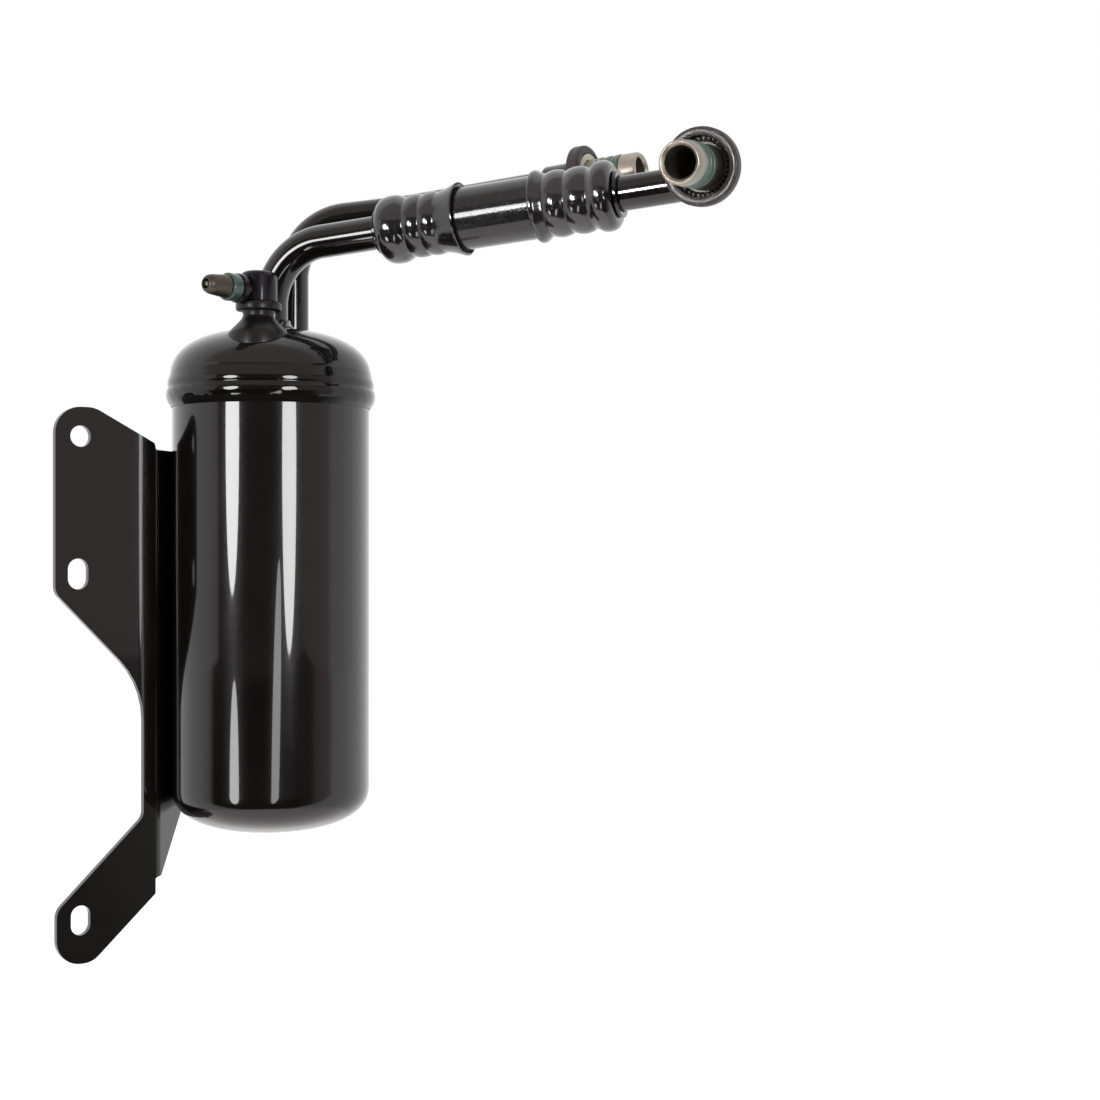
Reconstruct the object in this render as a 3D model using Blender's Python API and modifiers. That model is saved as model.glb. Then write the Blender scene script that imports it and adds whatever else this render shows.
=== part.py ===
"""Suction line accumulator of a vehicle's air conditioning: a welded can, its bracket and its two lines.

Sizes are in metres. They are written about the can's axis, with the bottom of the can at height zero,
and the last step moves everything so that the origin lies on the bracket's rear face.
"""

import math

import bmesh
import bpy
from mathutils import Matrix, Vector
from mathutils.geometry import intersect_point_line

MM = 0.001
GAP = 0.3 * MM
SHORTEST_STEP = 0.1 * MM

# Can, cup and cap, each height built up from the one below it
CAN_RADIUS = 44.45 * MM
CAN_WALL = 2.0 * MM
BOTTOM_HEIGHT = 20 * MM
BOTTOM_POWER = 2.45
BODY_TOP = 193.5 * MM
CAP_RADIUS = 45.4 * MM
NECK_RADIUS = CAP_RADIUS - CAN_WALL - GAP
NECK_TAPER = 2.5 * MM
NECK_START = BODY_TOP + NECK_TAPER
SKIRT_CLEARANCE = 2 * MM
CAP_SKIRT = NECK_START + SKIRT_CLEARANCE
SKIRT_LENGTH = 9 * MM
CAP_SHOULDER = CAP_SKIRT + SKIRT_LENGTH
NECK_TOP = CAP_SHOULDER - 1 * MM
CAP_RISE = 20.5 * MM
CAP_TOP = CAP_SHOULDER + CAP_RISE
CAP_POWER = 2.15
BEAD_PROUD = 1.6 * MM
BEAD_RADIUS = CAP_RADIUS + BEAD_PROUD
BEAD_BELOW = 7.5 * MM
BEAD_ABOVE = SKIRT_LENGTH - 0.4 * MM
CAN_STEPS = 30
CURVE_STEPS = 6

# Tubes
TUBE_RADIUS = 7.5 * MM
TUBE_WALL = 1.2 * MM
TUBE_SIDES = 14
BEND_RADIUS = 28 * MM
BEND_STEP = math.radians(17)
OUTLET_FOOT = (0, -0.5 * MM)
OUTLET_CORNER = CAP_TOP + 36.55 * MM
OUTLET_END = CAP_TOP - 27.5 * MM
INLET_FOOT = (5.4 * MM, 30.4 * MM)
INLET_CORNER = CAP_TOP + 53.3 * MM
INLET_END = CAP_TOP - 21.5 * MM
OUTLET_TURN_X = 206.4 * MM
OUTLET_TURN_Y = -69.6 * MM
OUTLET_TURN_RISE = 56.4 * MM
OUTLET_TURN = Vector((OUTLET_TURN_X, OUTLET_TURN_Y, CAP_TOP + OUTLET_TURN_RISE))
OUTLET_TIP_X = 175.8 * MM
OUTLET_TIP_Y = -142.2 * MM
OUTLET_TIP_RISE = 46.3 * MM
OUTLET_TIP = Vector((OUTLET_TIP_X, OUTLET_TIP_Y, CAP_TOP + OUTLET_TIP_RISE))
INLET_TURN_X = 60.3 * MM
INLET_TURN_Y = 25.4 * MM
INLET_TURN_RISE = 58.8 * MM
INLET_TURN = Vector((INLET_TURN_X, INLET_TURN_Y, CAP_TOP + INLET_TURN_RISE))
INLET_TURN_RADIUS = 25 * MM
INLET_TIP_X = 167.8 * MM
INLET_TIP_Y = -26.8 * MM
INLET_TIP_RISE = 66.8 * MM
INLET_TIP = Vector((INLET_TIP_X, INLET_TIP_Y, CAP_TOP + INLET_TIP_RISE))
COLLAR_RADIUS = TUBE_RADIUS + 3 * MM
COLLAR_TOP_RADIUS = TUBE_RADIUS + 1.1 * MM
COLLAR_RISE = 4.0 * MM
COLLAR_EDGE = 1 * MM

# Hose and its crimped shells, along the outlet's run from its first corner
NEAR_LIP = 94.3 * MM
FAR_LIP = 128.75 * MM
HOSE_RADIUS = 13.65 * MM
HOSE_CRUSHED = 11.5 * MM
FERRULE_END_WALL = 1.5 * MM
FERRULE_GROOVE = 13.2 * MM
FERRULE_MOUTH = 14.55 * MM
BULGE_RISE = 1.9 * MM
END_ROUND = 4.3 * MM
NEAR_LENGTH = 38.2 * MM
NEAR_FLARE = ((16 * MM, 0), (16 * MM, 0.9 * MM))
NEAR_BULGES = (
    (9.8 * MM, 16.8 * MM, 13.9 * MM),
    (17.2 * MM, 24.2 * MM, 13.9 * MM),
    (24.8 * MM, 0, 15.1 * MM),
)
FAR_LENGTH = 36.2 * MM
FAR_FLARE = ((15 * MM, 0), (15.6 * MM, 0.8 * MM), (15.6 * MM, 2.2 * MM))
FAR_BULGES = (
    (5.6 * MM, 15.2 * MM, 14.5 * MM),
    (15.6 * MM, 25.2 * MM, 14.5 * MM),
    (25.8 * MM, 0, 15.2 * MM),
)
CRUSH_START = 5.2 * MM
STOP_RADIUS = 10.2 * MM
STOP_THICKNESS = 1.6 * MM
FERRULE_STEPS = 18
NIPPLE_BACK = 2.5 * MM

# Spring-lock couplings, measured back from the tip
SPIGOT_RADIUS = 8.6 * MM
SPIGOT_BORE = 6.2 * MM
SPIGOT_CHAMFER = 1.2 * MM
GROOVE_FLOOR = 7.0 * MM
GROOVE_WIDTH = 3.4 * MM
GROOVE_STARTS = (8.2 * MM, 12.4 * MM, 16.6 * MM)
SLEEVE_RADIUS = 9.2 * MM
SLEEVE_START = 31.0 * MM
SLEEVE_END = SLEEVE_START + 15.4 * MM
SOCKET_START = SLEEVE_START + 3 * MM
CAGE_RADIUS = 15.5 * MM
CAGE_LENGTH = 5.8 * MM
CAGE_BACK = SLEEVE_START - GAP
CAGE_FRONT = CAGE_BACK - CAGE_LENGTH
CAGE_SHEET = 1.3 * MM
CAGE_LIP = 11.9 * MM
LIP_SHEET = 1.0 * MM
SPRING_SECTION = 1.5 * MM
SPRING_RADIUS = 11.2 * MM
MARKER_SHEET = 1.0 * MM
MARKER_PROUD = 0.3 * MM
SEAL_PROUD = 0.35 * MM
SEAL_ROUND = 0.6 * MM
COUPLING_STEPS = 16

# Service port
PORT_FOOT = Vector((-1.4, -27.6, 0)) * MM
PORT_BASE_DEPTH = 16.5 * MM
PORT_BASE_RADIUS = 13.5 * MM
PORT_CONE = ((1.0, -5.2 * MM), (0.92, -3.9 * MM), (0.67, -0.5 * MM))
PORT_CONE_TOP = CAP_TOP + 2.7 * MM
PORT_NECK = 6.8 * MM
PORT_BORE = 2.5 * MM
LEDGE_BOTTOM = PORT_CONE_TOP + 3.0 * MM
LEDGE_TOP = LEDGE_BOTTOM + 2.8 * MM
LEDGE_RADIUS = 10.1 * MM
HEAD_RADIUS = 8.15 * MM
HEAD_TOP = LEDGE_TOP + 13.8 * MM
HEAD_ROUND = 3.0 * MM
VALVE_HEIGHT = LEDGE_TOP + 5.2 * MM
VALVE_HEADING = math.radians(-127.8)
VALVE_NECK = 4.0 * MM
VALVE_NECK_START = 4.4 * MM
VALVE_COLLAR = 6.4 * MM
VALVE_COLLAR_START = 10.5 * MM
VALVE_COLLAR_END = 13.4 * MM
VALVE_STEM = 4.35 * MM
VALVE_SEAT = 4.0 * MM
VALVE_SHOULDER = 20.4 * MM
VALVE_TIP = 30.6 * MM
VALVE_BAND = 5.3 * MM
VALVE_BAND_RADIUS = 6.05 * MM
VALVE_BORE = 2.2 * MM
VALVE_CORE = 1.9 * MM
PORT_STEPS = 16

# Bracket, as a flat blank: distance out along the sheet and height, with the rounding of each corner
SHEET = 3.0 * MM
PLATE_HEADING = math.radians(215.5)
PLATE_OFFSET = 19.36 * MM
FOLD_AT = 46.3 * MM
FOLD_ANGLE = math.radians(40.1)
FOLD_RADIUS = 5 * MM
FOLD_STEPS = 4
WRAP_LENGTH = 14 * MM
WRAP_STEPS = 4
FLANGE_LENGTH = 23.1 * MM
FLANGE_END = FOLD_AT - FLANGE_LENGTH - WRAP_LENGTH
WRAP_START = FOLD_AT - FLANGE_LENGTH + 0.8 * MM
FLANGE_TOP = BODY_TOP - 21.3 * MM
WRAP_INSET = 8.2 * MM
FLANGE_REAR = 6.6 * MM
WRAP_BOTTOM = 26 * MM
FLANGE_BOTTOM = -19.4 * MM
FOLD_EDGE = FOLD_AT + 1.5 * MM
STEP_HEIGHT = 3 * MM
NECK_EDGE = 53.5 * MM
OUTER_EDGE = 94.2 * MM
FOOT_EDGE = OUTER_EDGE - 0.6 * MM
FOOT_BOTTOM = -54.2 * MM
PLATE_TOP = 190 * MM
PLATE_SHOULDER = OUTER_EDGE - 17.8 * MM
BOLT_INSET = 11.4 * MM
TIGHT = 1 * MM
CORNER = 3 * MM
BLANK = (
    (OUTER_EDGE, 108.5 * MM, 7 * MM),
    (OUTER_EDGE, PLATE_TOP, 11.5 * MM),
    (PLATE_SHOULDER, PLATE_TOP, 12 * MM),
    (FOLD_EDGE + 0.4 * MM, FLANGE_TOP + STEP_HEIGHT, TIGHT),
    (FOLD_EDGE - 0.2 * MM, FLANGE_TOP, TIGHT),
    (WRAP_START, FLANGE_TOP, CORNER),
    (FLANGE_END, FLANGE_TOP - WRAP_INSET, CORNER),
    (FLANGE_END, WRAP_BOTTOM, CORNER),
    (WRAP_START, FLANGE_REAR, CORNER),
    (FOLD_EDGE - 3.8 * MM, FLANGE_BOTTOM, TIGHT),
    (FOLD_EDGE, FLANGE_BOTTOM - 0.6 * MM, TIGHT),
    (FOLD_EDGE, FLANGE_BOTTOM - 7.7 * MM, TIGHT),
    (FOOT_EDGE - 16.2 * MM, FOOT_BOTTOM, 10 * MM),
    (FOOT_EDGE, FOOT_BOTTOM, 11 * MM),
    (FOOT_EDGE, -30.3 * MM, 8 * MM),
    (NECK_EDGE, 7.9 * MM, 6 * MM),
    (NECK_EDGE, 66.7 * MM, 39 * MM),
)
BOLT_LINE = OUTER_EDGE - BOLT_INSET
UPPER_BOLT = 177.1 * MM
MIDDLE_BOLT = 116.7 * MM
LOWER_BOLT = -35.1 * MM
BOLT_HOLE = 4.65 * MM
LOWER_HOLE = 4.4 * MM
SLOT_HALF = 3.7 * MM
SLOTS = (
    (BOLT_LINE, UPPER_BOLT, BOLT_HOLE, 0),
    (BOLT_LINE + 1.1 * MM, MIDDLE_BOLT, BOLT_HOLE, SLOT_HALF),
    (BOLT_LINE, LOWER_BOLT, LOWER_HOLE, SLOT_HALF),
)
SLOT_STEPS = 20
STITCH_RADIUS = 1.9 * MM
STITCH_LENGTH = 32 * MM
STITCH_INSET = 14 * MM
STITCHES = (
    ("bracket_weld_upper", FLANGE_TOP - WRAP_INSET - STITCH_INSET - STITCH_LENGTH),
    ("bracket_weld_lower", WRAP_BOTTOM + STITCH_INSET),
)

# Inside of the can
PICKUP_RADIUS = 6.0 * MM
PICKUP_WALL = 1.0 * MM
PICKUP_TOP = OUTLET_END + 11 * MM
PICKUP_BOTTOM = 16 * MM
PICKUP_SPREAD = 25 * MM
FILTER_RADIUS = 8 * MM
FILTER_BOTTOM = 4.2 * MM
FILTER_TOP = 13 * MM
BAFFLE_TOP = BODY_TOP - 9.5 * MM
BAFFLE_CROWN = 12 * MM
BAFFLE_RIM = 28 * MM
BAFFLE_LEAN = 0.3 * MM
BAFFLE_SKIRT = 8 * MM
BAFFLE_SHEET = 1.2 * MM
BAFFLE_DROP = 5 * MM
BAFFLE_SLOTS = 6
BAFFLE_SLOT_AT = 33 * MM
BAFFLE_SLOT_RADIUS = 4 * MM
BAG_WIDTH = 40 * MM
BAG_DEPTH = 24 * MM
BAG_HEIGHT = 78 * MM
BAG_OFFSET = 11 * MM
BAG_MIDDLE = 90 * MM
PICKUP_MOUTH = BAFFLE_TOP - 18 * MM

# The point that becomes the origin: on the rear face, between the round hole and the upper slot
MOUNT_OUT = BOLT_LINE
MOUNT_HEIGHT = 147 * MM


def clear_scene():
    for old in list(bpy.data.objects):
        bpy.data.objects.remove(old, do_unlink=True)


def new_collection(name):
    made = bpy.data.collections.new(name)
    bpy.context.scene.collection.children.link(made)
    return made


def new_material(name, colour, roughness, metallic=0.0):
    made = bpy.data.materials.new(name)
    made.use_nodes = True
    made.diffuse_color = (*colour, 1)
    shader = made.node_tree.nodes["Principled BSDF"]
    shader.inputs["Base Color"].default_value = (*colour, 1)
    shader.inputs["Roughness"].default_value = roughness
    shader.inputs["Metallic"].default_value = metallic
    return made


def add_object(name, data, home, material=None):
    made = bpy.data.objects.new(name, data)
    home.objects.link(made)
    if material:
        data.materials.append(material)
    return made


def as_cutter(made):
    made.hide_render = True
    made.display_type = "WIRE"
    return made


def cut(target, cutter):
    modifier = target.modifiers.new("cut", "BOOLEAN")
    modifier.operation = "DIFFERENCE"
    modifier.solver = "EXACT"
    modifier.object = cutter


def along(start, direction):
    """A placing matrix whose +Z runs along the direction."""
    turn = direction.normalized().to_track_quat("Z", "Y")
    return Matrix.Translation(start) @ turn.to_matrix().to_4x4()


def turned(name, profile, home, material, steps, place=None, ring=False):
    """A turned body. The profile is radius and height, and runs down its outer side."""
    points = [(radius, 0, height) for radius, height in profile]
    last = len(points) - 1
    edges = [(i, i + 1) for i in range(last)]
    if ring:
        edges.append((last, 0))
    mesh = bpy.data.meshes.new(name)
    mesh.from_pydata(points, edges, [])
    made = add_object(name, mesh, home, material)
    screw = made.modifiers.new("turn", "SCREW")
    screw.steps = steps
    screw.render_steps = steps
    screw.use_merge_vertices = True
    screw.merge_threshold = 1e-6
    screw.use_smooth_shade = False
    if place:
        made.matrix_world = place
    return made


def cylinder(name, radius, bottom, top, home, sides=24):
    profile = [(0, top), (radius, top), (radius, bottom), (0, bottom)]
    return as_cutter(turned(name, profile, home, None, sides))


def torus(name, major, minor, home, material, place, sides=6, steps=16):
    profile = []
    for i in range(sides):
        angle = math.tau * i / sides
        profile.append((major + minor * math.sin(angle), minor * math.cos(angle)))
    return turned(name, profile, home, material, steps, place, ring=True)


def rounded_route(corners, radii, step):
    """The corners of a tube's route, with each inner corner replaced by points on an arc."""
    points = [corners[0]]
    for before, corner, after, radius in zip(corners, corners[1:], corners[2:], radii):
        inward = (before - corner).normalized()
        outward = (after - corner).normalized()
        turn = math.pi - inward.angle(outward)
        setback = radius * math.tan(turn / 2)
        centre = corner + (inward + outward).normalized() * (radius / math.cos(turn / 2))
        first = corner + inward * setback - centre
        last = corner + outward * setback - centre
        count = max(2, math.ceil(turn / step))
        for i in range(count + 1):
            share = i / count
            arm = first * math.sin((1 - share) * turn) + last * math.sin(share * turn)
            point = centre + arm / math.sin(turn)
            if (point - points[-1]).length > SHORTEST_STEP:
                points.append(point)
    points.append(corners[-1])
    return points


def arm_from(points, place):
    """The shortest arm from a route to a place beside it."""
    arms = []
    for start, end in zip(points, points[1:]):
        share = intersect_point_line(place, start, end)[1]
        arms.append(place - start.lerp(end, min(max(share, 0), 1)))
    return min(arms, key=lambda arm: arm.length)


def route_mesh(name, points, radius, sides, capped):
    """The mesh of a round rod along the points. Without its caps it is the skin of a tube."""
    curve = bpy.data.curves.new(name, "CURVE")
    curve.dimensions = "3D"
    curve.bevel_depth = radius
    curve.bevel_resolution = (sides - 4) // 2
    curve.use_fill_caps = capped
    spline = curve.splines.new("POLY")
    spline.points.add(len(points) - 1)
    for held, point in zip(spline.points, points):
        held.co = (*point, 1)
    guide = bpy.data.objects.new(name + "_guide", curve)
    bpy.context.scene.collection.objects.link(guide)
    bpy.context.view_layer.update()
    graph = bpy.context.evaluated_depsgraph_get()
    mesh = bpy.data.meshes.new_from_object(guide.evaluated_get(graph))
    bpy.data.objects.remove(guide)
    mesh.name = name
    work = bmesh.new()
    work.from_mesh(mesh)
    bmesh.ops.remove_doubles(work, verts=work.verts, dist=1e-6)
    bmesh.ops.recalc_face_normals(work, faces=work.faces)
    first = work.faces[0]
    if not capped and first.normal.dot(arm_from(points, first.calc_center_median())) < 0:
        bmesh.ops.reverse_faces(work, faces=work.faces)
    work.to_mesh(mesh)
    work.free()
    mesh.materials.clear()
    return mesh


def tube(name, points, radius, wall, home, material, sides=TUBE_SIDES):
    made = add_object(name, route_mesh(name, points, radius, sides, False), home, material)
    solid = made.modifiers.new("wall", "SOLIDIFY")
    solid.thickness = wall
    solid.offset = -1
    solid.use_even_offset = True
    return made


def rod_cutter(name, points, radius, home, sides=TUBE_SIDES):
    return as_cutter(add_object(name, route_mesh(name, points, radius, sides, True), home))


def dome(radius, start, height, power, steps):
    """Radius and height of points on a rounded end, from its rim to its crown."""
    points = []
    for i in range(steps + 1):
        angle = math.pi / 2 * i / steps
        across = math.cos(angle) ** (2 / power)
        up = math.sin(angle) ** (2 / power)
        points.append((radius * across if i < steps else 0, start + height * up))
    return points


def cap_outline(grow=0.0):
    """The cap's outer side from its crown down to its shoulder, grown by a clearance."""
    return dome(CAP_RADIUS + grow, CAP_SHOULDER, CAP_RISE + grow, CAP_POWER, CURVE_STEPS)[::-1]


def dome_cutter(home):
    """The space that the cap takes, for the feet that stand on it."""
    profile = cap_outline(GAP)
    profile.append((CAP_RADIUS + GAP, CAP_SKIRT))
    profile.append((0, CAP_SKIRT))
    return as_cutter(turned("cap_space", profile, home, None, CAN_STEPS))


def make_canister(home, material):
    """The drawn cup, whose necked rim slides up inside the cap."""
    inner_neck = NECK_RADIUS - CAN_WALL
    inner = CAN_RADIUS - CAN_WALL
    inside = dome(inner, BOTTOM_HEIGHT, CAN_WALL - BOTTOM_HEIGHT, BOTTOM_POWER, CURVE_STEPS)
    profile = inside[::-1]
    profile.append((inner, BODY_TOP))
    profile.append((inner_neck, NECK_START))
    profile.append((inner_neck, NECK_TOP))
    profile.append((NECK_RADIUS, NECK_TOP))
    profile.append((NECK_RADIUS, NECK_START))
    profile.append((CAN_RADIUS, BODY_TOP))
    profile += dome(CAN_RADIUS, BOTTOM_HEIGHT, -BOTTOM_HEIGHT, BOTTOM_POWER, CURVE_STEPS)
    return turned("canister_shell", profile, home, material, CAN_STEPS)


def make_cap(home, cutters, material):
    """The domed cap, with a hole for each tube and for the port."""
    profile = cap_outline()
    profile.append((CAP_RADIUS, CAP_SKIRT))
    profile.append((CAP_RADIUS - CAN_WALL, CAP_SKIRT))
    rise = CAP_RISE - CAN_WALL
    profile += dome(CAP_RADIUS - CAN_WALL, CAP_SHOULDER, rise, CAP_POWER, CURVE_STEPS)
    made = turned("top_cap", profile, home, material, CAN_STEPS)
    holes = (
        ("outlet_hole", OUTLET_FOOT, TUBE_RADIUS),
        ("inlet_hole", INLET_FOOT, TUBE_RADIUS),
        ("port_hole", PORT_FOOT[:2], PORT_BORE),
    )
    for name, foot, radius in holes:
        cutter = cylinder(name, radius + GAP, CAP_SKIRT, CAP_TOP + CAN_WALL, cutters)
        cutter.location = (*foot, 0)
        cut(made, cutter)
    return made


def make_bead(home, material):
    """The weld bead that closes the joint of cup and cap."""
    inside_low = CAN_RADIUS + GAP
    inside_high = CAP_RADIUS + GAP
    step_at = CAP_SKIRT - GAP
    top = CAP_SKIRT + BEAD_ABOVE
    bottom = CAP_SKIRT - BEAD_BELOW
    profile = [
        (inside_high, top),
        (inside_high + BEAD_PROUD * 0.2, top),
        (BEAD_RADIUS - BEAD_PROUD * 0.2, CAP_SKIRT + BEAD_ABOVE * 0.5),
        (BEAD_RADIUS, CAP_SKIRT + BEAD_ABOVE * 0.1),
        (BEAD_RADIUS, CAP_SKIRT - BEAD_BELOW * 0.2),
        (BEAD_RADIUS - BEAD_PROUD * 0.3, CAP_SKIRT - BEAD_BELOW * 0.6),
        (inside_low + BEAD_PROUD * 0.25, bottom),
        (inside_low, bottom),
        (inside_low, step_at),
        (inside_high, step_at),
    ]
    return turned("seam_weld", profile, home, material, CAN_STEPS, ring=True)


def plate_out():
    return Vector((math.cos(PLATE_HEADING), math.sin(PLATE_HEADING), 0))


def plate_front():
    """The way the plate's front face looks."""
    out = plate_out()
    return Vector((-out.y, out.x, 0))


def pressed_line(at):
    """Where a point of the blank's front face ends up in plan, and how far round the sheet has turned."""
    out = plate_out()
    front = plate_front()
    foot = front * -PLATE_OFFSET
    half = FOLD_RADIUS * FOLD_ANGLE / 2
    start = FOLD_AT + half
    if at >= start:
        return foot + out * at
    pivot = foot + out * start - front * FOLD_RADIUS
    turned_by = min((start - at) / FOLD_RADIUS, FOLD_ANGLE)
    point = pivot + Matrix.Rotation(turned_by, 3, "Z") @ (front * FOLD_RADIUS)
    rest = FOLD_AT - half - at
    if rest <= 0:
        return point
    heading = Matrix.Rotation(FOLD_ANGLE, 3, "Z") @ -out
    straight = -point.dot(heading)
    if rest <= straight:
        return point + heading * rest
    touch = point + heading * straight
    return Matrix.Rotation(-(rest - straight) / touch.length, 3, "Z") @ touch


def rounded_corners(corners, steps=5):
    """A closed outline with every corner rounded."""
    points = []
    for i, (x, y, radius) in enumerate(corners):
        corner = Vector((x, y, 0))
        before = Vector((*corners[i - 1][:2], 0))
        after = Vector((*corners[(i + 1) % len(corners)][:2], 0))
        count = steps if radius > 2 * MM else 1
        points += rounded_route([before, corner, after], [radius], math.pi / count)[1:-1]
    return points


def slot_outline(x, y, radius, half):
    points = []
    for i in range(SLOT_STEPS):
        angle = math.tau * (i + 0.5) / SLOT_STEPS
        lift = math.copysign(half, math.sin(angle))
        points.append(Vector((x + radius * math.cos(angle), y + lift + radius * math.sin(angle), 0)))
    return points


def make_bracket(home, material):
    """The bracket: a flat blank with its holes, folded once, wrapped to the can and thickened."""
    curve = bpy.data.curves.new("blank", "CURVE")
    curve.dimensions = "2D"
    curve.fill_mode = "BOTH"
    for outline in [rounded_corners(BLANK)] + [slot_outline(*slot) for slot in SLOTS]:
        spline = curve.splines.new("POLY")
        spline.points.add(len(outline) - 1)
        spline.use_cyclic_u = True
        for held, point in zip(spline.points, outline):
            held.co = (*point, 1)
    guide = bpy.data.objects.new("blank", curve)
    bpy.context.scene.collection.objects.link(guide)
    bpy.context.view_layer.update()
    mesh = bpy.data.meshes.new_from_object(guide.evaluated_get(bpy.context.evaluated_depsgraph_get()))
    bpy.data.objects.remove(guide)
    work = bmesh.new()
    work.from_mesh(mesh)
    bmesh.ops.remove_doubles(work, verts=work.verts, dist=1e-6)
    half = FOLD_RADIUS * FOLD_ANGLE / 2
    lines = [FOLD_AT - half + 2 * half * i / FOLD_STEPS for i in range(FOLD_STEPS + 1)]
    lines += [FLANGE_END + WRAP_LENGTH * i / WRAP_STEPS for i in range(1, WRAP_STEPS + 1)]
    for line in lines:
        everything = work.verts[:] + work.edges[:] + work.faces[:]
        bmesh.ops.bisect_plane(work, geom=everything, plane_co=(line, 0, 0), plane_no=(1, 0, 0), dist=1e-6)
    for vert in work.verts:
        place = pressed_line(vert.co.x)
        vert.co = (place.x, place.y, vert.co.y)
    bmesh.ops.recalc_face_normals(work, faces=work.faces)
    widest = max(work.faces, key=lambda face: face.calc_area())
    if widest.normal.dot(plate_front()) < 0:
        bmesh.ops.reverse_faces(work, faces=work.faces)
    work.to_mesh(mesh)
    work.free()
    made = add_object("mounting_bracket", mesh, home, material)
    solid = made.modifiers.new("sheet", "SOLIDIFY")
    solid.thickness = SHEET
    solid.offset = -1
    solid.use_even_offset = True
    return made


def make_stitches(home, material):
    """The two stitch welds along the flange's rear edge."""
    edge = pressed_line(FLANGE_END)
    reach = CAN_RADIUS + GAP + STITCH_RADIUS
    angle = (STITCH_RADIUS + GAP) / reach
    spot = Matrix.Rotation(-angle, 3, "Z") @ (edge.normalized() * reach)
    for name, bottom in STITCHES:
        points = []
        for share in (0, 0.08, 0.5, 0.92, 1):
            points.append(Vector((spot.x, spot.y, bottom + STITCH_LENGTH * share)))
        add_object(name, route_mesh(name, points, STITCH_RADIUS, 8, True), home, material)


def run_direction():
    start = Vector((*OUTLET_FOOT, OUTLET_CORNER))
    return (OUTLET_TURN - start).normalized()


def on_run(distance):
    return Vector((*OUTLET_FOOT, OUTLET_CORNER)) + run_direction() * distance


def make_tubes(home, material):
    """The outlet tube up to the hose, the tube after the hose, and the inlet tube."""
    foot = Vector((*OUTLET_FOOT, OUTLET_END))
    corner = Vector((*OUTLET_FOOT, OUTLET_CORNER))
    route = rounded_route([foot, corner, on_run(NEAR_LIP - NIPPLE_BACK)], [BEND_RADIUS], BEND_STEP)
    tube("outlet_tube", route, TUBE_RADIUS, TUBE_WALL, home, material)
    back = (OUTLET_TURN - OUTLET_TIP).normalized()
    end = OUTLET_TIP + back * (SOCKET_START + GAP)
    route = rounded_route([on_run(FAR_LIP + NIPPLE_BACK), OUTLET_TURN, end], [BEND_RADIUS], BEND_STEP)
    tube("hose_end_tube", route, TUBE_RADIUS, TUBE_WALL, home, material)
    foot = Vector((*INLET_FOOT, INLET_END))
    corner = Vector((*INLET_FOOT, INLET_CORNER))
    back = (INLET_TURN - INLET_TIP).normalized()
    end = INLET_TIP + back * (SOCKET_START + GAP)
    radii = [BEND_RADIUS, INLET_TURN_RADIUS]
    route = rounded_route([foot, corner, INLET_TURN, end], radii, BEND_STEP)
    tube("inlet_tube", route, TUBE_RADIUS, TUBE_WALL, home, material)


def make_collar(name, foot, home, material, cap_space):
    """The brazed ring where a tube enters the cap."""
    away = min(math.hypot(*foot) / CAP_RADIUS, 1)
    height = CAP_SHOULDER + CAP_RISE * (1 - away ** CAP_POWER) ** (1 / CAP_POWER)
    bore = TUBE_RADIUS + GAP
    top = height + COLLAR_RISE
    bottom = height - 2 * COLLAR_RISE
    profile = [
        (bore, top),
        (COLLAR_TOP_RADIUS, top),
        (COLLAR_RADIUS, height + COLLAR_EDGE),
        (COLLAR_RADIUS, bottom),
        (bore, bottom),
    ]
    place = Matrix.Translation((*foot, 0))
    made = turned(name, profile, home, material, PORT_STEPS, place, ring=True)
    cut(made, cap_space)
    return made


def ferrule_profile(length, flare, bulges):
    """A crimped shell: flared lip at height zero, three bulges, rounded end with a hole for the tube."""
    outer = [(radius, -depth) for radius, depth in flare]
    for start, end, crest in bulges:
        outer.append((FERRULE_GROOVE, -start))
        outer.append((crest, -start - BULGE_RISE))
        if end:
            outer.append((crest, -end + BULGE_RISE))
            outer.append((FERRULE_GROOVE, -end))
    outer.append((crest, -length + END_ROUND))
    outer.append((crest - END_ROUND * 0.3, -length + END_ROUND * 0.3))
    outer.append((crest - END_ROUND, -length))
    bore = TUBE_RADIUS + GAP
    inner = HOSE_CRUSHED + GAP
    closed = length - FERRULE_END_WALL
    outer.append((bore, -length))
    outer.append((bore, -closed))
    outer.append((inner, -closed))
    outer.append((inner, -CRUSH_START))
    outer.append((HOSE_RADIUS + GAP, -1.6 * MM))
    outer.append((FERRULE_MOUTH, 0))
    return outer


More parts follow.
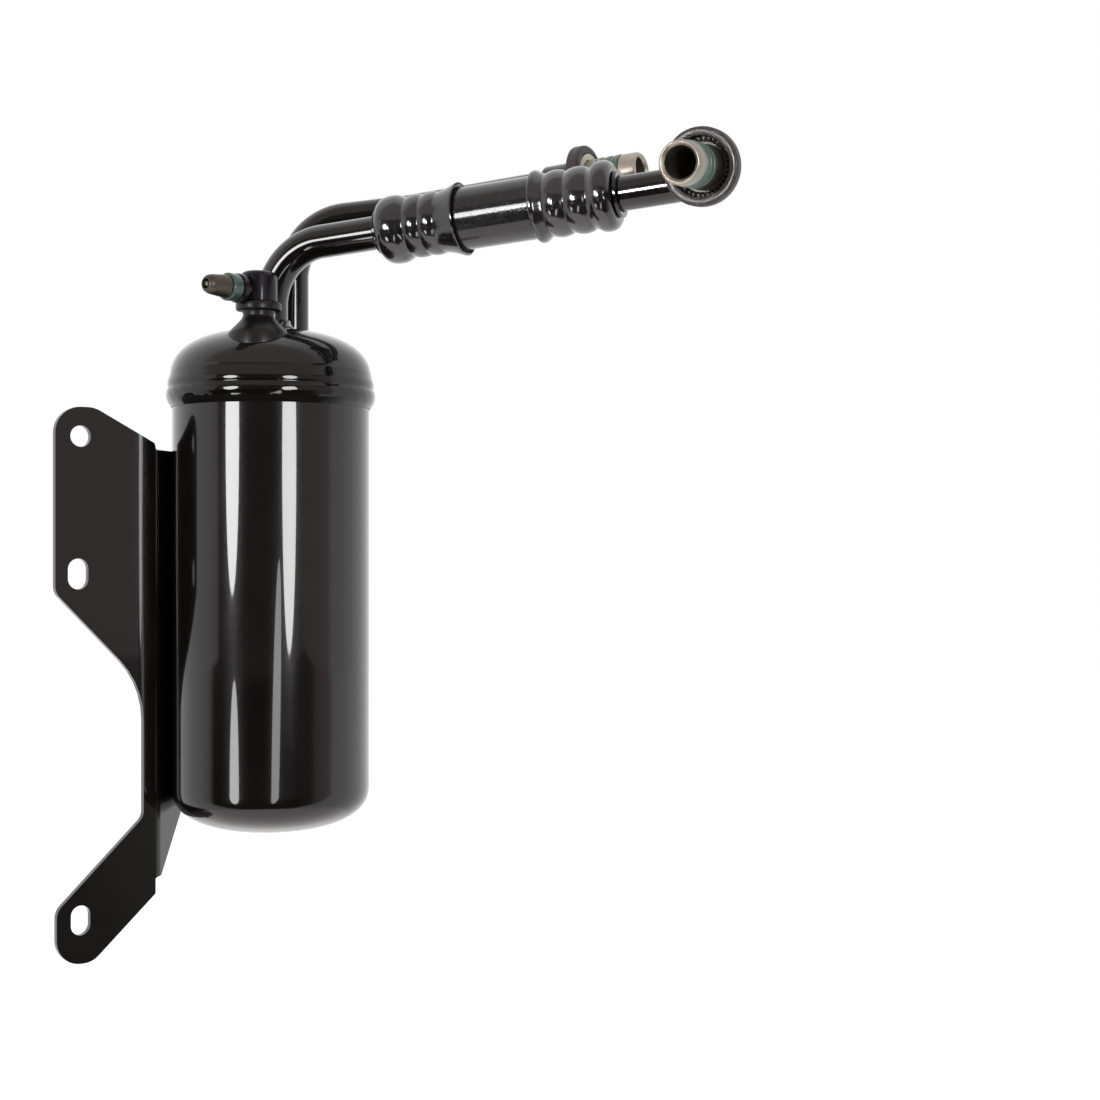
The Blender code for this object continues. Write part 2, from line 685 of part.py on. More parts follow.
def make_hose(home, materials):
    """The rubber hose between its two crimped shells, and the stop ring behind each."""
    run = run_direction()
    bore = TUBE_RADIUS + GAP
    sides = (
        ("near", NEAR_LIP, 1, NEAR_LENGTH, NEAR_FLARE, NEAR_BULGES),
        ("far", FAR_LIP, -1, FAR_LENGTH, FAR_FLARE, FAR_BULGES),
    )
    for side, lip, way, length, flare, bulges in sides:
        place = along(on_run(lip), run * way)
        profile = ferrule_profile(length, flare, bulges)
        turned(side + "_ferrule", profile, home, materials["ferrule"], FERRULE_STEPS, place, ring=True)
        start = -length - GAP
        profile = [
            (bore, start),
            (STOP_RADIUS, start),
            (STOP_RADIUS, start - STOP_THICKNESS),
            (bore, start - STOP_THICKNESS),
        ]
        turned(side + "_stop_ring", profile, home, materials["paint"], FERRULE_STEPS, place, ring=True)
    half = (FAR_LIP - NEAR_LIP) / 2
    near_end = half + NEAR_LENGTH - FERRULE_END_WALL - GAP
    far_end = half + FAR_LENGTH - FERRULE_END_WALL - GAP
    crush = half + CRUSH_START
    shoulder = half + 1.3 * MM
    profile = [
        (bore, far_end),
        (HOSE_CRUSHED, far_end),
        (HOSE_CRUSHED, crush),
        (HOSE_RADIUS, shoulder),
        (HOSE_RADIUS, -shoulder),
        (HOSE_CRUSHED, -crush),
        (HOSE_CRUSHED, -near_end),
        (bore, -near_end),
    ]
    place = along(on_run((NEAR_LIP + FAR_LIP) / 2), run)
    turned("suction_hose", profile, home, materials["rubber"], FERRULE_STEPS, place, ring=True)


def spigot_profile():
    """The coupling's spigot with its seal grooves. The tip is at height zero, and the tube enters below."""
    profile = [
        (SPIGOT_BORE, 0),
        (SPIGOT_RADIUS - SPIGOT_CHAMFER, 0),
        (SPIGOT_RADIUS, -SPIGOT_CHAMFER),
    ]
    for start in GROOVE_STARTS:
        profile.append((SPIGOT_RADIUS, -start))
        profile.append((GROOVE_FLOOR, -start))
        profile.append((GROOVE_FLOOR, -start - GROOVE_WIDTH))
        profile.append((SPIGOT_RADIUS, -start - GROOVE_WIDTH))
    profile.append((SPIGOT_RADIUS, -SLEEVE_START))
    profile.append((SLEEVE_RADIUS, -SLEEVE_START))
    profile.append((SLEEVE_RADIUS, -SLEEVE_END + 1 * MM))
    profile.append((SLEEVE_RADIUS - 0.7 * MM, -SLEEVE_END))
    profile.append((TUBE_RADIUS + GAP, -SLEEVE_END))
    profile.append((TUBE_RADIUS + GAP, -SOCKET_START))
    profile.append((SPIGOT_BORE, -SOCKET_START))
    return profile


def cage_profile():
    """The cage: a pressed ring, open toward the tip, with its lip rolled inward."""
    bore = SPIGOT_RADIUS + GAP
    wall = CAGE_RADIUS - CAGE_SHEET
    return [
        (CAGE_LIP, -CAGE_FRONT - 0.5 * MM),
        (CAGE_LIP + 0.9 * MM, -CAGE_FRONT),
        (CAGE_RADIUS - 1.2 * MM, -CAGE_FRONT),
        (CAGE_RADIUS, -CAGE_FRONT - 1.0 * MM),
        (CAGE_RADIUS, -CAGE_BACK + 0.6 * MM),
        (CAGE_RADIUS - 0.6 * MM, -CAGE_BACK),
        (bore, -CAGE_BACK),
        (bore, -CAGE_BACK + CAGE_SHEET),
        (wall, -CAGE_BACK + CAGE_SHEET),
        (wall, -CAGE_FRONT - LIP_SHEET),
        (CAGE_LIP, -CAGE_FRONT - LIP_SHEET),
    ]


def seal_band(name, bore, outer, low, high, home, material, place):
    """A rubber band seal between two heights, rounded on its outer corners."""
    corner = SEAL_ROUND
    profile = [
        (bore, high),
        (outer - corner, high),
        (outer, high - corner),
        (outer, low + corner),
        (outer - corner, low),
        (bore, low),
    ]
    turned(name, profile, home, material, COUPLING_STEPS, place, ring=True)


def make_coupling(side, corner, tip, home, materials):
    """One spring-lock coupling half: spigot, cage, garter spring and its seals."""
    place = along(tip, tip - corner)
    steps = COUPLING_STEPS
    turned(side + "_spigot", spigot_profile(), home, materials["bare"], steps, place, ring=True)
    turned(side + "_cage", cage_profile(), home, materials["paint"], steps, place, ring=True)
    depth = CAGE_BACK - CAGE_SHEET - GAP - SPRING_SECTION
    spot = place @ Matrix.Translation((0, 0, -depth))
    torus(side + "_garter_spring", SPRING_RADIUS, SPRING_SECTION, home, materials["spring"], spot)
    for i, start in enumerate(GROOVE_STARTS):
        name = side + "_seal_" + str(i + 1)
        bore = GROOVE_FLOOR + GAP
        outer = SPIGOT_RADIUS + SEAL_PROUD
        low = -start - GROOVE_WIDTH + GAP
        seal_band(name, bore, outer, low, -start - GAP, home, materials["seal"], place)


def make_marker(corner, tip, home, material):
    """The cream plastic ring in the mouth of the inlet's cage, which shows that it isn't joined yet."""
    front = -CAGE_FRONT + MARKER_PROUD
    profile = [
        (SPIGOT_RADIUS + GAP, front),
        (CAGE_LIP - GAP, front),
        (CAGE_LIP - GAP, front - MARKER_SHEET),
        (SPIGOT_RADIUS + GAP, front - MARKER_SHEET),
    ]
    place = along(tip, tip - corner)
    turned("inlet_marker_ring", profile, home, material, COUPLING_STEPS, place, ring=True)


def make_port(home, cutters, materials, cap_space):
    """The service port: a post brazed on the cap, its round head, and the valve that leaves it sideways."""
    place = Matrix.Translation(PORT_FOOT)
    profile = [
        (PORT_BORE, LEDGE_TOP),
        (LEDGE_RADIUS, LEDGE_TOP),
        (LEDGE_RADIUS, LEDGE_BOTTOM),
        (PORT_NECK, LEDGE_BOTTOM),
        (PORT_NECK, PORT_CONE_TOP),
    ]
    for share, drop in PORT_CONE[::-1]:
        profile.append((PORT_BASE_RADIUS * share, CAP_TOP + drop))
    profile.append((PORT_BASE_RADIUS, CAP_TOP - PORT_BASE_DEPTH))
    profile.append((PORT_BORE, CAP_TOP - PORT_BASE_DEPTH))
    post = turned("port_post", profile, home, materials["paint"], PORT_STEPS, place, ring=True)
    cut(post, cap_space)
    profile = [
        (0, HEAD_TOP),
        (HEAD_RADIUS - HEAD_ROUND, HEAD_TOP),
        (HEAD_RADIUS - 0.8 * MM, HEAD_TOP - 0.8 * MM),
        (HEAD_RADIUS, HEAD_TOP - HEAD_ROUND),
        (HEAD_RADIUS, LEDGE_TOP + GAP),
        (PORT_BORE, LEDGE_TOP + GAP),
        (PORT_BORE, VALVE_HEIGHT + 1 * MM),
        (0, VALVE_HEIGHT + 1 * MM),
    ]
    head = turned("port_head", profile, home, materials["head"], PORT_STEPS, place)
    heading = Vector((math.cos(VALVE_HEADING), math.sin(VALVE_HEADING), 0))
    centre = PORT_FOOT + Vector((0, 0, VALVE_HEIGHT))
    sideways = along(centre, heading)
    drill = cylinder("valve_drill", VALVE_NECK + GAP, VALVE_NECK_START - GAP, 20 * MM, cutters)
    drill.matrix_world = sideways
    cut(head, drill)
    passage = cylinder("valve_passage", PORT_BORE, 0, 12 * MM, cutters, sides=16)
    passage.matrix_world = sideways
    cut(head, passage)
    band_start = VALVE_COLLAR_END + GAP
    band_end = band_start + VALVE_BAND
    seat_end = band_end + GAP
    profile = [
        (VALVE_BORE, VALVE_TIP),
        (VALVE_STEM - 1.8 * MM, VALVE_TIP),
        (VALVE_STEM - 0.5 * MM, VALVE_TIP - 1.2 * MM),
        (VALVE_STEM, VALVE_TIP - 3.4 * MM),
        (VALVE_STEM + 0.6 * MM, VALVE_SHOULDER),
        (VALVE_STEM + 0.8 * MM, seat_end),
        (VALVE_SEAT, seat_end),
        (VALVE_SEAT, VALVE_COLLAR_END),
        (VALVE_COLLAR, VALVE_COLLAR_END),
        (VALVE_COLLAR, VALVE_COLLAR_START),
        (VALVE_NECK, VALVE_COLLAR_START),
        (VALVE_NECK, VALVE_NECK_START),
        (VALVE_BORE, VALVE_NECK_START),
    ]
    turned("service_valve", profile, home, materials["brass"], PORT_STEPS, sideways, ring=True)
    bore = VALVE_SEAT + GAP
    outer = VALVE_BAND_RADIUS
    seal_band("valve_seal", bore, outer, band_start, band_end, home, materials["seal"], sideways)
    profile = [
        (0, VALVE_TIP - 1.5 * MM),
        (0.8 * MM, VALVE_TIP - 1.5 * MM),
        (0.8 * MM, VALVE_TIP - 4 * MM),
        (VALVE_CORE, VALVE_TIP - 4.5 * MM),
        (VALVE_CORE, VALVE_TIP - 14 * MM),
        (0, VALVE_TIP - 14 * MM),
    ]
    turned("valve_core", profile, home, materials["brass"], 12, sideways)


def pickup_route():
    foot = Vector((*OUTLET_FOOT, 0))
    side = Vector((-PICKUP_SPREAD, 0, 0))
    radius = PICKUP_SPREAD / 2
    up = Vector((0, 0, 1))
    corners = [
        foot + up * PICKUP_TOP,
        foot + up * PICKUP_BOTTOM,
        foot + side + up * PICKUP_BOTTOM,
        foot + side + up * PICKUP_MOUTH,
    ]
    return rounded_route(corners, [radius * 0.999, radius * 0.999], BEND_STEP * 1.5)


def make_inside(home, cutters, materials):
    """What the can holds: the pickup tube with its oil filter, the baffle and the desiccant bag."""
    route = pickup_route()
    tube("pickup_tube", route, PICKUP_RADIUS, PICKUP_WALL, home, materials["bare"], sides=12)
    space = rod_cutter("pickup_space", route, PICKUP_RADIUS + GAP, cutters, sides=12)
    profile = [(0, FILTER_TOP), (FILTER_RADIUS, FILTER_TOP)]
    profile += [(FILTER_RADIUS, FILTER_BOTTOM), (0, FILTER_BOTTOM)]
    middle = Matrix.Translation((OUTLET_FOOT[0] - PICKUP_SPREAD / 2, OUTLET_FOOT[1], 0))
    made = turned("pickup_filter", profile, home, materials["mesh"], 16, middle)
    cut(made, space)
    skirt = CAN_RADIUS - CAN_WALL - GAP
    top = BAFFLE_TOP - BAFFLE_DROP
    profile = [
        (0, BAFFLE_TOP),
        (BAFFLE_CROWN, BAFFLE_TOP),
        (BAFFLE_RIM, top),
        (skirt, top),
        (skirt, top - BAFFLE_SKIRT),
        (skirt - BAFFLE_SHEET, top - BAFFLE_SKIRT),
        (skirt - BAFFLE_SHEET, top - BAFFLE_SHEET),
        (BAFFLE_RIM - BAFFLE_LEAN, top - BAFFLE_SHEET),
        (BAFFLE_CROWN - BAFFLE_LEAN, BAFFLE_TOP - BAFFLE_SHEET),
        (0, BAFFLE_TOP - BAFFLE_SHEET),
    ]
    baffle = turned("vapour_baffle", profile, home, materials["steel"], CAN_STEPS)
    cut(baffle, space)
    for i in range(BAFFLE_SLOTS):
        angle = math.tau * (i + 0.5) / BAFFLE_SLOTS
        name = "baffle_slot_" + str(i + 1)
        reach = 4 * BAFFLE_SHEET
        drill = cylinder(name, BAFFLE_SLOT_RADIUS, top - reach, top + reach, cutters, sides=12)
        drill.location = (BAFFLE_SLOT_AT * math.cos(angle), BAFFLE_SLOT_AT * math.sin(angle), 0)
        cut(baffle, drill)
    mesh = bpy.data.meshes.new("desiccant_bag")
    work = bmesh.new()
    bmesh.ops.create_cube(work, size=1)
    bmesh.ops.scale(work, vec=(BAG_WIDTH, BAG_DEPTH, BAG_HEIGHT), verts=work.verts)
    work.to_mesh(mesh)
    work.free()
    bag = add_object("desiccant_bag", mesh, home, materials["felt"])
    bag.location = (-PICKUP_SPREAD / 2, BAG_OFFSET, BAG_MIDDLE)
    round_off = bag.modifiers.new("round", "SUBSURF")
    round_off.levels = 2
    round_off.render_levels = 2
    cut(bag, space)


def make_materials():
    return {
        "paint": new_material("gloss_black_paint", (0.012, 0.011, 0.011), 0.16),
        "ferrule": new_material("painted_ferrule", (0.02, 0.018, 0.018), 0.25),
        "sheet": new_material("painted_sheet", (0.018, 0.017, 0.017), 0.3),
        "rubber": new_material("hose_rubber", (0.015, 0.015, 0.016), 0.5),
        "bare": new_material("bare_aluminium", (0.55, 0.5, 0.46), 0.3, 1.0),
        "steel": new_material("plain_steel", (0.5, 0.49, 0.47), 0.4, 1.0),
        "spring": new_material("spring_steel", (0.62, 0.55, 0.44), 0.3, 1.0),
        "seal": new_material("green_rubber", (0.10, 0.19, 0.15), 0.35),
        "cream": new_material("cream_plastic", (0.72, 0.66, 0.54), 0.4),
        "brass": new_material("valve_brass", (0.42, 0.31, 0.22), 0.3, 1.0),
        "head": new_material("navy_paint", (0.016, 0.016, 0.028), 0.25),
        "mesh": new_material("filter_mesh", (0.6, 0.6, 0.58), 0.5),
        "felt": new_material("bag_felt", (0.75, 0.73, 0.68), 0.9),
    }


def move_to_mount():
    """Moves everything so that the origin lies on the bracket's rear face."""
    spot = plate_out() * MOUNT_OUT - plate_front() * (PLATE_OFFSET + SHEET)
    spot.z = MOUNT_HEIGHT
    shift = Matrix.Translation(-spot)
    bpy.context.view_layer.update()
    for made in list(bpy.data.objects):
        made.matrix_world = shift @ made.matrix_world


def main():
    clear_scene()
    home = new_collection("suction_line_accumulator")
    cutters = new_collection("cutters")
    materials = make_materials()
    cap_space = dome_cutter(cutters)
    make_canister(home, materials["paint"])
    make_cap(home, cutters, materials["paint"])
    make_bead(home, materials["paint"])
    make_bracket(home, materials["sheet"])
    make_stitches(home, materials["paint"])
    make_tubes(home, materials["paint"])
    make_collar("outlet_collar", OUTLET_FOOT, home, materials["paint"], cap_space)
    make_collar("inlet_collar", INLET_FOOT, home, materials["paint"], cap_space)
    make_hose(home, materials)
    make_coupling("outlet", OUTLET_TURN, OUTLET_TIP, home, materials)
    make_coupling("inlet", INLET_TURN, INLET_TIP, home, materials)
    make_marker(INLET_TURN, INLET_TIP, home, materials["cream"])
    make_port(home, cutters, materials, cap_space)
    make_inside(home, cutters, materials)
    move_to_mount()


main()
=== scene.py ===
import math

import bpy
from mathutils import Matrix, Vector


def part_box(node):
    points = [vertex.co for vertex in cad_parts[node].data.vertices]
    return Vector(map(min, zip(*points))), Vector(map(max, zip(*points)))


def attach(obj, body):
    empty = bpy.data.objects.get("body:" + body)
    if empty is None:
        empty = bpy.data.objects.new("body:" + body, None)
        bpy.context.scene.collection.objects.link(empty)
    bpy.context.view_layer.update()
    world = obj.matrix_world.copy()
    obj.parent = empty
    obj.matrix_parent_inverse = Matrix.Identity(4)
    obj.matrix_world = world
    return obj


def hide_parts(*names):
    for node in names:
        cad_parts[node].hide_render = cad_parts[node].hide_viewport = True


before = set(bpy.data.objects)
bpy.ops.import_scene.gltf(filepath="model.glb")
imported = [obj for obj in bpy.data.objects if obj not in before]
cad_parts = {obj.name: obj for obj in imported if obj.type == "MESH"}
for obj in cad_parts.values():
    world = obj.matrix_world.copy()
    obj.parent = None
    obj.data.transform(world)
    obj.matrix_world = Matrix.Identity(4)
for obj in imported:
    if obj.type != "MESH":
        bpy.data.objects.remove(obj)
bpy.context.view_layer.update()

# The studio. The accumulator hangs by its bracket in front of a white paper sweep. The room that its
# gloss enamel mirrors has white sides and a white back, and is dark behind the camera.
# Places are given in millimetres from the foot of the can's axis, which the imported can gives.
MM = 0.001
CAMERA_PLACE = (127, -830, 127.2)
CAMERA_LENS = 59.583
FLOOR_LEVEL = -330
can_low, can_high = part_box("canister_shell")
CAN_FOOT = Vector(((can_low.x + can_high.x) / 2, (can_low.y + can_high.y) / 2, can_low.z))


def spot(x, y, z):
    """A place in the scene, from millimetres about the can's foot."""
    return CAN_FOOT + Vector((x, y, z)) * MM


studio = bpy.context.scene
studio.view_settings.view_transform = "Standard"
sight = bpy.data.cameras.new("front_camera")
sight.sensor_fit = "HORIZONTAL"
sight.sensor_width = 36
sight.lens = CAMERA_LENS
sight.clip_start = 0.01
camera = bpy.data.objects.new("front_camera", sight)
studio.collection.objects.link(camera)
camera.location = spot(*CAMERA_PLACE)
camera.rotation_euler = (math.pi / 2, 0, 0)
studio.camera = camera


def tinted(tree, share, stops):
    """A grey or colour by share, from stops of a place and a tone."""
    steps = tree.nodes.new("ShaderNodeValToRGB")
    ramp = steps.color_ramp
    while len(ramp.elements) > 1:
        ramp.elements.remove(ramp.elements[0])
    for i, (place, tone) in enumerate(stops):
        stop = ramp.elements[0] if i == 0 else ramp.elements.new(place)
        stop.position = place
        colour = tone if isinstance(tone, tuple) else (tone, tone, tone)
        stop.color = (*colour, 1)
    tree.links.new(share, steps.inputs["Fac"])
    return steps.outputs["Color"]


def mixed(tree, share, under, over):
    """Mixes two colours, each a fixed one or a socket, by a share."""
    mix = tree.nodes.new("ShaderNodeMix")
    mix.data_type = "RGBA"
    tree.links.new(share, mix.inputs["Factor"])
    for side, tone in (("A", under), ("B", over)):
        if isinstance(tone, tuple):
            mix.inputs[side].default_value = (*tone, 1)
        else:
            tree.links.new(tone, mix.inputs[side])
    return mix.outputs["Result"]


def reckoned(tree, operation, *values):
    """The result of one sum, from numbers and sockets."""
    step = tree.nodes.new("ShaderNodeMath")
    step.operation = operation
    for socket, value in zip(step.inputs, values):
        if isinstance(value, (int, float)):
            socket.default_value = value
        else:
            tree.links.new(value, socket)
    return step.outputs[0]


def passed(tree, value, start, end):
    """How far a value has come from its start to its end, from 0 to 1."""
    way = tree.nodes.new("ShaderNodeMapRange")
    way.inputs["From Min"].default_value = start
    way.inputs["From Max"].default_value = end
    tree.links.new(value, way.inputs["Value"])
    return way.outputs["Result"]


def parted(tree, where):
    """The X, Y and Z of a place."""
    axes = tree.nodes.new("ShaderNodeSeparateXYZ")
    tree.links.new(where, axes.inputs[0])
    return axes.outputs


def tones_round(tree, where, stops):
    """Tones of the room by bearing: 0 is straight in front of the can, + is towards the couplings."""
    across = parted(tree, where)
    ahead = reckoned(tree, "MULTIPLY", across["Y"], -1)
    bearing = reckoned(tree, "ARCTAN2", across["X"], ahead)
    turned = passed(tree, bearing, -math.pi, math.pi)
    warm = [(angle, (tone, tone * 0.88, tone * 0.89) if tone < 0.9 else tone) for angle, tone in stops]
    return tinted(tree, turned, [((angle + 180) / 360, tone) for angle, tone in warm])


WHITE = (1, 1, 1)
ROOM_GREY = (0.45, 0.45, 0.45)
CEILING_FROM = math.sin(math.radians(20))
CEILING_FULL = math.sin(math.radians(26))
WALLS = [(-180, 1.0), (-66, 0.95), (-56, 0.8), (-53, 0.15), (-30, 0.12), (24, 0.12), (42, 0.38), (50, 0.5)]
WALLS += [(77, 0.6), (82, 0.95), (180, 1.0)]
CEILING = [(-180, 1.0), (-84, 0.95), (-70, 0.6), (60, 0.6), (84, 0.95), (180, 1.0)]
room = bpy.data.worlds.new("studio_room")
room.use_nodes = True
studio.world = room
tree = room.node_tree
tree.nodes.clear()
looking = tree.nodes.new("ShaderNodeTexCoord").outputs["Generated"]
rise = passed(tree, parted(tree, looking)["Z"], CEILING_FROM, CEILING_FULL)
mirrored = mixed(tree, rise, tones_round(tree, looking, WALLS), tones_round(tree, looking, CEILING))
rays = tree.nodes.new("ShaderNodeLightPath").outputs
shiny = reckoned(tree, "MAXIMUM", rays["Is Glossy Ray"], rays["Is Transmission Ray"])
lit = mixed(tree, shiny, ROOM_GREY, mirrored)
sky = tree.nodes.new("ShaderNodeBackground")
tree.links.new(mixed(tree, rays["Is Camera Ray"], lit, WHITE), sky.inputs["Color"])
room_out = tree.nodes.new("ShaderNodeOutputWorld")
tree.links.new(sky.outputs[0], room_out.inputs["Surface"])

OUTLET_RUN = spot(163, -55, 281)


def softbox(name, angle, distance, width, bottom, top, level, lean=0.0, aim=None, spread=180):
    """A soft box at a bearing round the can, facing its axis, or a place of its own through a grid."""
    lamp = bpy.data.lights.new(name, "AREA")
    lamp.shape = "ELLIPSE"
    lamp.size = width
    lamp.size_y = top - bottom
    lamp.energy = level * math.pi * lamp.size * lamp.size_y * math.pi / 4
    lamp.spread = math.radians(spread)
    held = bpy.data.objects.new(name, lamp)
    studio.collection.objects.link(held)
    turn = math.radians(angle)
    reach = Vector((math.sin(turn), -math.cos(turn), 0)) * distance
    stand = CAN_FOOT + reach + Vector((0, 0, (bottom + top) / 2))
    upright = Matrix.Rotation(turn, 4, "Z") @ Matrix.Rotation(math.pi / 2, 4, "X")
    facing = upright @ Matrix.Rotation(math.radians(lean), 4, "Z")
    if aim:
        facing = (aim - stand).to_track_quat("-Z", "Y").to_matrix().to_4x4()
    held.matrix_world = Matrix.Translation(stand) @ facing
    held.visible_camera = False


softbox("left_softbox", -36, 1.3, 0.372, 0.085, 0.470, 17)
softbox("right_softbox", 28.7, 1.3, 0.365, 0.016, 0.470, 15)
softbox("left_low_strip", -31.6, 0.35, 0.064, -0.09, 0.050, 9)
softbox("right_low_strip", 13.7, 0.35, 0.051, -0.09, 0.126, 5, lean=-11)
softbox("tube_strip", -23.7, 1.146, 0.10, 0.10, 0.30, 1.8, aim=OUTLET_RUN, spread=12)

# For glossy rays the floor is a glow of its own and not lit paper: dark tones by bearing in front, white
# beyond, and brighter than white under the can. This is a painted glow that the enamel reflects.
FAR_FLOOR = [(-180, 1.0), (-76, 0.95), (-66, 0.75), (-60, 0.03), (36, 0.03), (54, 0.12), (62, 0.4)]
FAR_FLOOR += [(78, 0.55), (84, 0.95), (180, 1.0)]
FLOOR_GLOW_UNDER_CAN = (1.35, 1.28, 1.29)
FLOOR_SIZE = 12
PAPER_GLOW = 0.75
FLOOR_TURNS_WHITE = (-0.43, -0.35)
FLOOR_BRIGHTENS = (0.48, 0.43)
bpy.ops.object.select_all(action="DESELECT")
bpy.ops.mesh.primitive_plane_add(size=FLOOR_SIZE, location=spot(0, 0, FLOOR_LEVEL))
floor = bpy.context.object
floor.name = "white_floor"
sweep = bpy.data.materials.new("white_sweep")
sweep.use_nodes = True
tree = sweep.node_tree
tree.nodes.clear()
paper = tree.nodes.new("ShaderNodeBsdfDiffuse")
paper.inputs["Color"].default_value = (0.9, 0.9, 0.9, 1)
glow = tree.nodes.new("ShaderNodeEmission")
glow.inputs["Color"].default_value = (*WHITE, 1)
glow.inputs["Strength"].default_value = PAPER_GLOW
glowing_paper = tree.nodes.new("ShaderNodeAddShader")
tree.links.new(paper.outputs[0], glowing_paper.inputs[0])
tree.links.new(glow.outputs[0], glowing_paper.inputs[1])
on_floor = tree.nodes.new("ShaderNodeTexCoord").outputs["Object"]
near = passed(tree, parted(tree, on_floor)["Y"], *FLOOR_TURNS_WHITE)
floor_glow_tones = mixed(tree, near, tones_round(tree, on_floor, FAR_FLOOR), WHITE)
from_can = tree.nodes.new("ShaderNodeVectorMath")
from_can.operation = "LENGTH"
tree.links.new(on_floor, from_can.inputs[0])
under_can = passed(tree, from_can.outputs["Value"], *FLOOR_BRIGHTENS)
mirrored = tree.nodes.new("ShaderNodeEmission")
tree.links.new(mixed(tree, under_can, floor_glow_tones, FLOOR_GLOW_UNDER_CAN), mirrored.inputs["Color"])
rays = tree.nodes.new("ShaderNodeLightPath").outputs
shown = paper
for ray, other in (("Is Camera Ray", glowing_paper), ("Is Glossy Ray", mirrored)):
    choice = tree.nodes.new("ShaderNodeMixShader")
    tree.links.new(rays[ray], choice.inputs["Fac"])
    tree.links.new(shown.outputs[0], choice.inputs[1])
    tree.links.new(other.outputs[0], choice.inputs[2])
    shown = choice
floor_out = tree.nodes.new("ShaderNodeOutputMaterial")
tree.links.new(shown.outputs[0], floor_out.inputs["Surface"])
floor.data.materials.append(sweep)

# The can: a drawn steel cup, a domed cap pressed over its necked rim, and the weld bead that closes
# the two. All three are sprayed together in a thick gloss black enamel with a faint orange peel.
LATHE_STEPS = 128
CAN_RADIUS = 44.45 * MM
CAN_WALL = 2.0 * MM
BOTTOM_HEIGHT = 20 * MM
DOME_POWER = 2.45
NECK_START = 193.5 * MM
NECK_END = 196 * MM
NECK_RADIUS = 43.1 * MM
CUP_TOP = 206 * MM
DUST_TONE = (0.045, 0.042, 0.04)


def fresh_finish(name):
    """A new finish: its material, its shader's sockets, and the place that its patterns read."""
    finish = bpy.data.materials.new(name)
    finish.use_nodes = True
    nodes = finish.node_tree.nodes
    return finish, nodes["Principled BSDF"].inputs, nodes.new("ShaderNodeTexCoord").outputs["Object"]


def clouds(tree, where, scale, detail, breakup=0.5):
    """Cloudy noise, for stains, grain and skins."""
    noise = tree.nodes.new("ShaderNodeTexNoise")
    noise.inputs["Scale"].default_value = scale
    noise.inputs["Detail"].default_value = detail
    noise.inputs["Roughness"].default_value = breakup
    tree.links.new(where, noise.inputs["Vector"])
    return noise.outputs["Fac"]


def vary(tree, pattern, low, high, socket):
    """Lets a pattern drive a socket of the shader from low to high."""
    reach = tree.nodes.new("ShaderNodeMapRange")
    reach.inputs["To Min"].default_value = low
    reach.inputs["To Max"].default_value = high
    tree.links.new(pattern, reach.inputs["Value"])
    tree.links.new(reach.outputs["Result"], socket)


def emboss(tree, pattern, strength, depth, shader):
    """Raises a fine pattern on the skin."""
    relief = tree.nodes.new("ShaderNodeBump")
    relief.inputs["Strength"].default_value = strength
    relief.inputs["Distance"].default_value = depth
    tree.links.new(pattern, relief.inputs["Height"])
    tree.links.new(relief.outputs["Normal"], shader["Normal"])


def enamel(name, tone=(0.0023, 0.0016, 0.0015), gloss=0.16, peel=0.09, coat=1.0, haze=0.035, wet=1.5):
    """Black enamel: a clear wet top over the pigment, with orange peel, dust specks and thin spots."""
    paint, shader, where = fresh_finish(name)
    tree = paint.node_tree
    shader["Coat Weight"].default_value = coat
    shader["Coat Roughness"].default_value = haze
    shader["Coat IOR"].default_value = wet
    shader["Specular IOR Level"].default_value = 0.12
    mottle = clouds(tree, where, 45, 6)
    thin_tone = tuple(part * 1.4 + 0.0006 for part in tone)
    pigment = tinted(tree, mottle, [(0.3, tone), (0.72, thin_tone)])
    dust = tree.nodes.new("ShaderNodeTexVoronoi")
    dust.inputs["Scale"].default_value = 420
    tree.links.new(where, dust.inputs["Vector"])
    specks = tinted(tree, dust.outputs["Distance"], [(0.0, 0.22), (0.05, 0.0)])
    tree.links.new(mixed(tree, specks, pigment, DUST_TONE), shader["Base Color"])
    vary(tree, mottle, gloss, gloss + 0.10, shader["Roughness"])
    emboss(tree, clouds(tree, where, 380, 3), peel, 0.0004, shader)
    return paint


def only(piece):
    """Makes one object the selected and active one."""
    bpy.ops.object.select_all(action="DESELECT")
    piece.select_set(True)
    bpy.context.view_layer.objects.active = piece


def in_metres(outline):
    """An outline of radii and heights, from millimetres."""
    return [(radius * MM, height * MM) for radius, height in outline]


def turn_outline(name, outline, steps=LATHE_STEPS, ring=False):
    """Draws half an outline by extruding one point through radius and height, and spins it round."""
    bpy.ops.object.select_all(action="DESELECT")
    bpy.ops.mesh.primitive_plane_add(size=0.001, location=(0, 0, 0))
    piece = bpy.context.object
    piece.name = name
    bpy.ops.object.mode_set(mode="EDIT")
    bpy.ops.mesh.merge(type="CENTER")
    path = outline + outline[:1] if ring else outline
    bpy.ops.transform.translate(value=(path[0][0], 0, path[0][1]))
    for before, after in zip(path, path[1:]):
        step = (after[0] - before[0], 0, after[1] - before[1])
        bpy.ops.mesh.extrude_region_move(TRANSFORM_OT_translate={"value": step})
    bpy.ops.mesh.select_all(action="SELECT")
    bpy.ops.mesh.remove_doubles(threshold=1e-6)
    bpy.ops.mesh.select_all(action="SELECT")
    bpy.ops.mesh.spin(steps=steps, angle=math.tau, center=(0, 0, 0), axis=(0, 0, 1))
    bpy.ops.mesh.select_all(action="SELECT")
    bpy.ops.mesh.remove_doubles(threshold=1e-6)
    bpy.ops.mesh.normals_make_consistent(inside=False)
    bpy.ops.object.mode_set(mode="OBJECT")
    return piece


